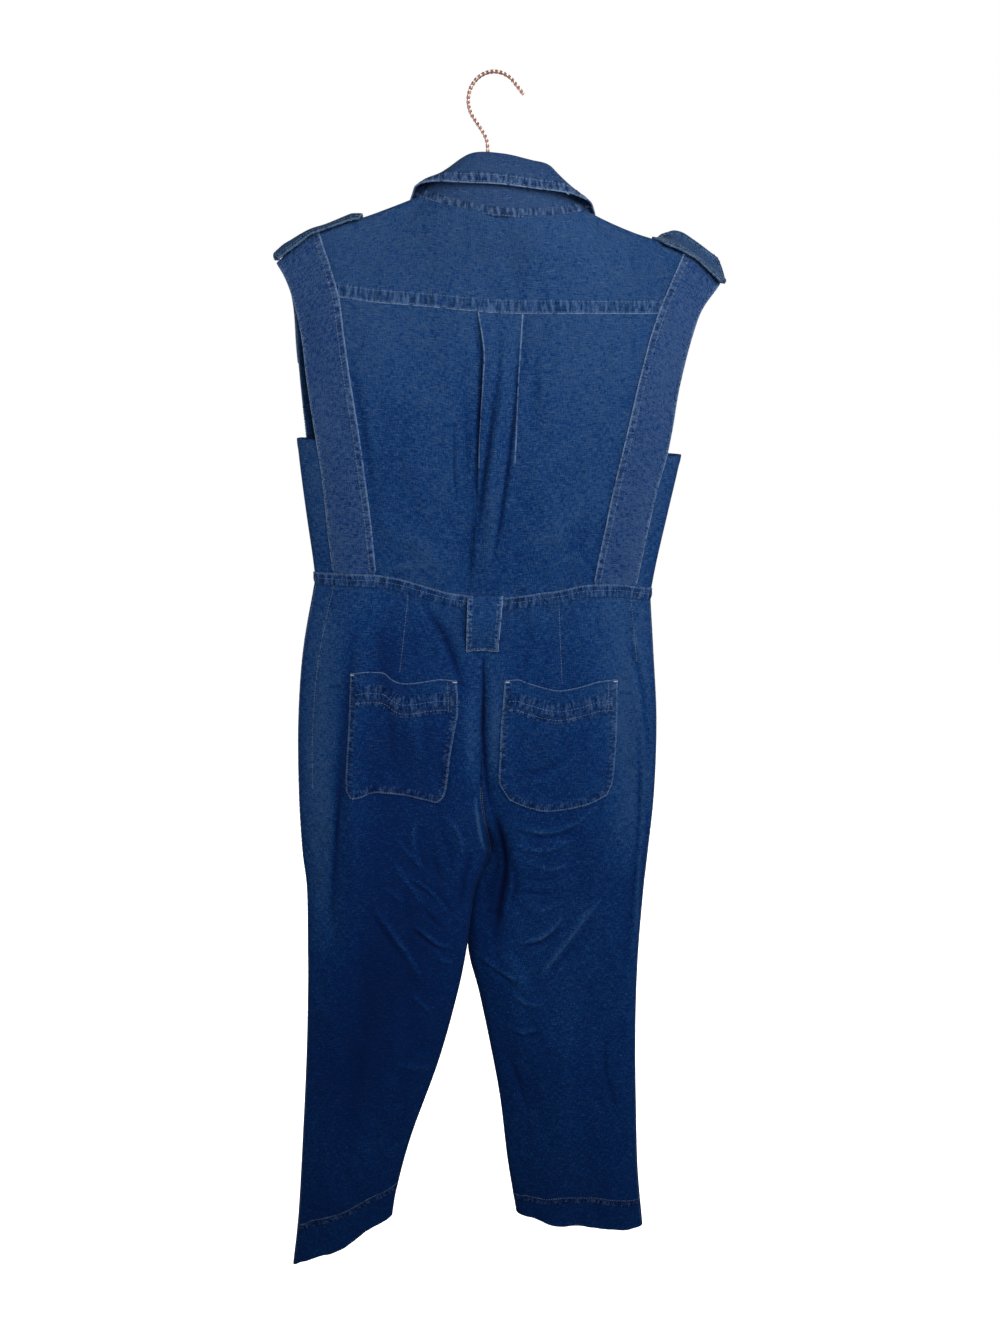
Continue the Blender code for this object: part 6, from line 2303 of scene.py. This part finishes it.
@dataclass
class ShoulderTabs(Assembly):
    """The two shoulder tabs, stitched at the sleeve end and pointed at the neck end."""

    tables: dict[Side, Table] = field(default_factory=lambda: {
        Side.LEFT: Table("x centre_z near_drop far_drop", (-231.5, -167, 13, 1.5), (-222, -159, 12, 1.5),
                         (-212, -153.5, 10.5, 1.5), (-203, -148.5, 9.5, 1.5), (-193, -143.8, 7, 1.5),
                         (-176, -138.8, 5.5, 1.5), (-155, -131, 6.5, 1.5), (-149, -128.8, 6.5, 1.5),
                         (-137, -128.8, 6, 1.5)),
        Side.RIGHT: Table("x centre_z near_drop far_drop", (165, -151.2, 3, -1), (178, -153.3, 5, -6),
                          (191, -156, 7, -12.5), (200, -161, 6, -15.5), (210, -167.2, 5, -16),
                          (229, -180.2, 7.5, -16.5), (244, -192, 9, -18)),
    })
    ends: dict[Side, tuple[float, float]] = field(
        default_factory=lambda: {Side.LEFT: (-137.0, -231.5), Side.RIGHT: (165.0, 244.5)})
    points: dict[Side, float] = field(default_factory=lambda: {Side.LEFT: 2.0, Side.RIGHT: 12.0})
    near_width: float = 13.0
    far_width: float = 20.0
    rounding: float = 6.0

    def place(self, side: Side, u: Array, v: Array) -> Array:
        """A tab's points.

        Args:
            side: which tab.
            u: from its pointed end to its sewn one.
            v: from its back edge to its front one.

        Returns:
            The points.
        """
        table, (inner, outer) = self.tables[side], self.ends[side]
        across = 2 * v - 1
        x = inner + (outer - inner) * u
        x = x + side.sign * self.points[side] * (1 - u) ** 3 * np.abs(across)
        x = x - side.sign * self.rounding * u**8 * across**4
        drop = np.where(across < 0, table("near_drop", x), table("far_drop", x))
        z = table("centre_z", x) - drop * np.abs(across) ** 1.6
        return np.stack([x, np.where(across < 0, self.near_width, self.far_width) * across, z], axis=-1)

    def build(self) -> None:
        """Makes both tabs."""
        for side in Side:
            place = partial(self.place, side)
            columns, rows = (divide(place, along, 0.5, 2.0, edges=(0.5, 1.2, 2.2, 3.6, 5.2))
                             for along in (0, 1))
            tab = Panel("shoulder_tab_" + side.value, place, columns, rows, wall=TAB_WALL,
                        outward=side is Side.RIGHT, drape=False)
            for border in (Border.LOW_V, Border.HIGH_V, Border.LOW_U):
                tab.sew(border, width=6.5, rows=(4.6,), pitch=8.0, swell=0.3, step=0.3)
            tab.sew(Border.HIGH_U, width=6.0, rows=(4.0,), pitch=8.0, swell=0.3, step=0.2, worn=False)
            self.cut(tab, Finish.TAB, Sheet(0.092, 0.046, 0.95), "armhole_band_" + side.value,
                     slot="denim_trim")
        self.sew("stitches_tabs")


@dataclass
class Placket(Assembly):
    """The buttoned strip down the front, with its buttons."""

    half: float = 15.0
    end: float = -716.0
    heights: tuple[float, ...] = (-225.0, -293.0, -361.0, -429.0, -497.0, -586.0, -660.0)
    radius: float = 7.0
    thick: float = 2.4
    stand: float = 0.8          # from the strip to a button's underside
    turns: int = 40
    dome: float = 0.62
    dome_out: float = 1.15      # from the button's middle, across and up
    profile: Path = (           # a button's outline, as shares of its radius and thickness
        (0.0, 0.62), (0.50, 0.62), (0.60, 0.70), (0.68, 0.94), (0.78, 1.0), (0.88, 0.98), (0.97, 0.84),
        (1.0, 0.62), (0.99, 0.34), (0.92, 0.12), (0.80, 0.0), (0.0, 0.0),
    )

    def centre_depth(self, z: Array) -> Array:
        """Depth of the front at its centre, over bodice and trousers.

        Args:
            z: heights.

        Returns:
            The depth at each height.
        """
        x = CENTRE_FRONT("x", z)
        bodice = bodice_depth(Face.FRONT, x, z)
        leg = LEGS[Side.RIGHT]
        q, s = leg.station(Face.FRONT, x + 25.0, np.minimum(z, -545.0))
        trousers = leg.point(Face.FRONT, q, s)[..., 1]
        share = ease((-z - 500.0) / 60.0)
        return bodice * (1 - share) + trousers * share

    def place(self, u: Array, v: Array) -> Array:
        """The strip, from the neck to below the waist.

        Args:
            u: from the left edge to the right one.
            v: from the neck down.

        Returns:
            The strip's points.
        """
        across = self.half * (2 * u - 1)
        top = NECK[Face.FRONT]("z", NECK_X + across) - 0.5
        z = top + (self.end - top) * v
        return np.stack([CENTRE_FRONT("x", z) + across, self.centre_depth(z), z], axis=-1)

    def build(self) -> None:
        """Makes the strip and the buttons."""
        columns = divide(self.place, 0, 0.5, 2.2, edges=(0.5, 1.2, 2.2, 3.6))
        rows = divide(self.place, 1, 0.5, 2.4, edges=(0.6, 1.6))
        strip = Panel("front_placket", self.place, columns, rows, lift=LAYER + 0.2, outward=True)
        for border in (Border.LOW_U, Border.HIGH_U):
            strip.sew(border, width=6.0, rows=(4.0,), pitch=8.0, swell=0.3, step=0.3)
        strip.sew(Border.HIGH_V, width=5.0, rows=(2.5,), pitch=8.0, swell=0.3, step=0.2)
        self.cut(strip, Finish.BAND, Sheet(0.031, 0.52), "front_left", slot="denim_trim")
        self.sew("stitches_placket")
        for number, z in enumerate(self.heights, 1):
            self.build_button(number, z)

    def build_button(self, number: int, z: float) -> None:
        """Turns one button, with four small domes in its dish.

        Args:
            number: its number, from 1 at the top.
            z: its height.
        """
        mesh = bmesh.new()
        rings = []
        for share, height in self.profile:
            up, turns = height * self.thick * MM, self.turns if share else 1
            rings.append([mesh.verts.new((self.radius * share * MM * math.cos(2 * math.pi * k / turns), up,
                                          self.radius * share * MM * math.sin(2 * math.pi * k / turns)))
                          for k in range(turns)])
        for first, second in zip(rings, rings[1:]):
            for k in range(self.turns):
                ring = (first[k % len(first)], first[(k + 1) % len(first)],
                        second[(k + 1) % len(second)], second[k % len(second)])
                mesh.faces.new(list(dict.fromkeys(ring)))
        bmesh.ops.recalc_face_normals(mesh, faces=mesh.faces[:])
        for x, up in ((-1, -1), (-1, 1), (1, -1), (1, 1)):
            dome = bmesh.ops.create_uvsphere(mesh, u_segments=10, v_segments=6, radius=self.dome * MM)
            for vert in dome["verts"]:
                vert.co.x += x * self.dome_out * MM
                vert.co.z += up * self.dome_out * MM
                vert.co.y = vert.co.y * 0.5 + self.thick * 0.62 * MM
        depth = float(self.centre_depth(np.array([z]))[0]) + LAYER + self.stand
        place = (float(CENTRE_FRONT("x", z)) * MM, depth * MM, z * MM)
        bmesh.ops.translate(mesh, verts=mesh.verts[:], vec=place)
        data = bpy.data.meshes.new(f"button_{number}_turned")
        mesh.to_mesh(data)
        mesh.free()
        data.shade_smooth()
        piece = new_object(f"button_{number}_turned", data)
        self.room.finish_piece(piece, Finish.BUTTON, "button", [f"button_{number}"])


@dataclass
class Hanger(Assembly):
    """The twisted wire hook and the slim flocked arms."""

    wire: float = 1.9
    crook: float = 26.0
    start_deg: float = 215.8
    end_deg: float = 41.0
    tip: float = 15.5
    bend: float = 25.0
    straight: float = 16.7
    arm_top: float = -105.0
    socket: float = 13.0
    twist: float = 18.0         # length of one whole turn of the square wire
    sides: int = 16
    step: float = 0.45
    end_round: float = 1.3
    sharp_deg: float = 38.0

    def centre_line(self) -> Array:
        """The wire's middle line: shank, neck bend, straight neck, crook and tip.

        Returns:
            Its points as x, z.
        """
        lean = math.radians(self.start_deg - 180.0)
        centre_z = self.wire - self.crook
        first = math.radians(self.start_deg)
        start = (self.crook * math.cos(first), centre_z + self.crook * math.sin(first))
        foot = (start[0] + math.sin(lean) * self.straight, start[1] - math.cos(lean) * self.straight)
        shank_x = foot[0] + self.bend * (1 - math.cos(lean))
        bend_z = foot[1] - self.bend * math.sin(lean)
        line = [(shank_x, self.arm_top - self.socket + 1.0), (shank_x, (self.arm_top + bend_z) / 2)]
        for turn in np.linspace(0.0, lean, 8):
            line.append((shank_x - self.bend * (1 - math.cos(turn)), bend_z + self.bend * math.sin(turn)))
        for angle in np.radians(np.linspace(self.start_deg, self.end_deg, 48)):
            line.append((self.crook * math.cos(angle), centre_z + self.crook * math.sin(angle)))
        end = math.radians(self.end_deg)
        line.append((line[-1][0] + self.tip * math.sin(end), line[-1][1] - self.tip * math.cos(end)))
        return np.array(line)

    def rings(self, line: Array) -> Array:
        """The square wire, twisted round its middle line.

        Args:
            line: the middle line as x, z.

        Returns:
            Points, ring after ring.
        """
        run = run_of(line)
        at = np.linspace(0.0, run[-1], round(run[-1] / self.step))
        x, z = np.interp(at, run, line[:, 0]), np.interp(at, run, line[:, 1])
        along = unit(np.gradient(np.stack([x, z], axis=-1), axis=0))
        angle = np.linspace(0.0, 2 * math.pi, self.sides, endpoint=False)
        square = (np.abs(np.cos(angle)) ** 6 + np.abs(np.sin(angle)) ** 6) ** (-1 / 6)
        radius = self.wire * square / square.max()
        turn = angle[None, :] + 2 * math.pi * at[:, None] / self.twist
        end = np.minimum(at, at[-1] - at)[:, None]
        radius = radius[None, :] * (0.35 + 0.65 * round_edge(end + 0.05, self.end_round))
        side, deep = radius * np.cos(turn), radius * np.sin(turn)
        normal = np.stack([-along[:, 1], along[:, 0]], axis=-1)
        return np.stack([x[:, None] + normal[:, 0:1] * side, deep, z[:, None] + normal[:, 1:2] * side],
                        axis=-1)

    def build(self) -> None:
        """Makes the hook, and dresses the arms."""
        rings = self.rings(self.centre_line())
        index = np.arange(rings[..., 0].size).reshape(rings.shape[:2])
        after = np.roll(index, -1, axis=1)
        faces = np.stack([index[:-1], after[:-1], after[1:], index[1:]], axis=-1).reshape(-1, 4).tolist()
        faces += [index[0].tolist(), index[-1].tolist()]
        mesh = bpy.data.meshes.new("twisted_hook")
        mesh.from_pydata(rings.reshape(-1, 3) * MM, [], faces)
        cleaned = bmesh.new()
        cleaned.from_mesh(mesh)
        bmesh.ops.recalc_face_normals(cleaned, faces=cleaned.faces[:])
        cleaned.to_mesh(mesh)
        cleaned.free()
        mesh.shade_smooth()
        mesh.set_sharp_from_angle(angle=math.radians(self.sharp_deg))
        self.room.finish_piece(new_object("twisted_hook", mesh), Finish.COPPER, "hook_wire", ["hanger_hook"])
        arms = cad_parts["hanger_arms"]
        arms.data.materials.clear()
        arms.data.materials.append(self.room.materials[Finish.FLOCK])


# ---- studio

@dataclass(frozen=True)
class Lamp:
    """A soft rectangular light: place, aim, size and power."""

    name: str
    place_m: tuple[float, float, float]
    aim_m: tuple[float, float, float]
    size_m: float
    watts: float


@dataclass(frozen=True)
class Studio:
    """White room, soft lights and the camera."""

    floor_m: float = -1.98
    half_m: float = 6.0
    lens_mm: float = 28.0
    sensor_mm: float = 36.0
    camera_m: tuple[float, float, float] = (0.006, -1.17, -0.2436)
    tilt_deg: float = 18.0
    lamps: tuple[Lamp, ...] = (
        Lamp("key", (0.48, -1.25, 0.26), (0.0, 0.0, -0.45), 0.80, 12.6),
        Lamp("fill", (0.3, -2.2, -0.1), (0.0, 0.0, -0.7), 1.4, 11.5),
        Lamp("left", (-1.6, -0.55, -0.35), (0.0, 0.0, -0.45), 1.0, 7.5),
        Lamp("right", (1.7, -0.65, -0.35), (0.0, 0.0, -0.45), 1.0, 9.5),
        Lamp("front_of_garment", (0.6, 2.2, 0.6), (0.0, 0.0, -0.7), 1.6, 55.0),
        Lamp("front_low", (-1.2, 2.0, -1.0), (0.0, 0.0, -0.9), 1.4, 25.0),
    )

    def build(self) -> None:
        """Makes the floor, the light and the camera."""
        self.lay_floor()
        self.light_world()
        for lamp in self.lamps:
            self.hang(lamp)
        self.set_camera()
        bpy.context.scene.view_settings.view_transform = "Standard"

    def lay_floor(self) -> None:
        """Makes a white floor that neither lights the garment nor shows in it."""
        white = Shader("white_floor")
        white.plug(white.surface, {
            "Base_Color": (0.9, 0.9, 0.9, 1.0), "Roughness": 0.9,
            "Emission_Color": (1.0, 1.0, 1.0, 1.0), "Emission_Strength": 1.0,
        })
        mesh = bpy.data.meshes.new("floor")
        corners = [(x * self.half_m, y * self.half_m, self.floor_m)
                   for x, y in ((-1, -1), (1, -1), (1, 1), (-1, 1))]
        mesh.from_pydata(corners, [], [(0, 1, 2, 3)])
        mesh.materials.append(white.material)
        floor = new_object("floor", mesh)
        floor.visible_diffuse = False
        floor.visible_glossy = False

    def light_world(self) -> None:
        """Makes the white surroundings, which only the camera sees."""
        world = bpy.data.worlds.new("white_room")
        world.use_nodes = True
        world.node_tree.nodes["Background"].inputs["Color"].default_value = (1.0, 1.0, 1.0, 1.0)
        world.cycles_visibility.diffuse = False
        world.cycles_visibility.glossy = False
        bpy.context.scene.world = world

    def set_camera(self) -> None:
        """Puts the camera in its place, looking a little down."""
        data = bpy.data.cameras.new("camera")
        data.lens = self.lens_mm
        data.sensor_width = self.sensor_mm
        camera = new_object("camera", data)
        camera.location = self.camera_m
        camera.rotation_euler = (math.radians(90.0 - self.tilt_deg), 0.0, 0.0)
        bpy.context.scene.camera = camera

    def hang(self, lamp: Lamp) -> None:
        """Adds one light.

        Args:
            lamp: its sizes.
        """
        data = bpy.data.lights.new(lamp.name, "AREA")
        data.energy = lamp.watts
        data.size = lamp.size_m
        made = new_object(lamp.name, data)
        made.location = lamp.place_m
        aim = np.array(lamp.aim_m) - np.array(lamp.place_m)
        flat = math.hypot(aim[0], aim[1])
        made.rotation_euler = (math.atan2(flat, -aim[2]), 0.0, math.atan2(-aim[0], aim[1]))


def main() -> None:
    """Builds the garment piece by piece, then the room."""
    logging.basicConfig(level=logging.INFO, format="%(name)s %(message)s")
    room = Workroom()
    for assembly in (Hanger, Bodice, ArmholeBands, Waistband, Trousers, Pockets, BeltLoop, Collar,
                     ShoulderTabs, Placket):
        log.info("making %s", assembly.__name__)
        assembly(room).build()
    Studio().build()
    bpy.context.view_layer.update()


if __name__ == "__main__":
    main()
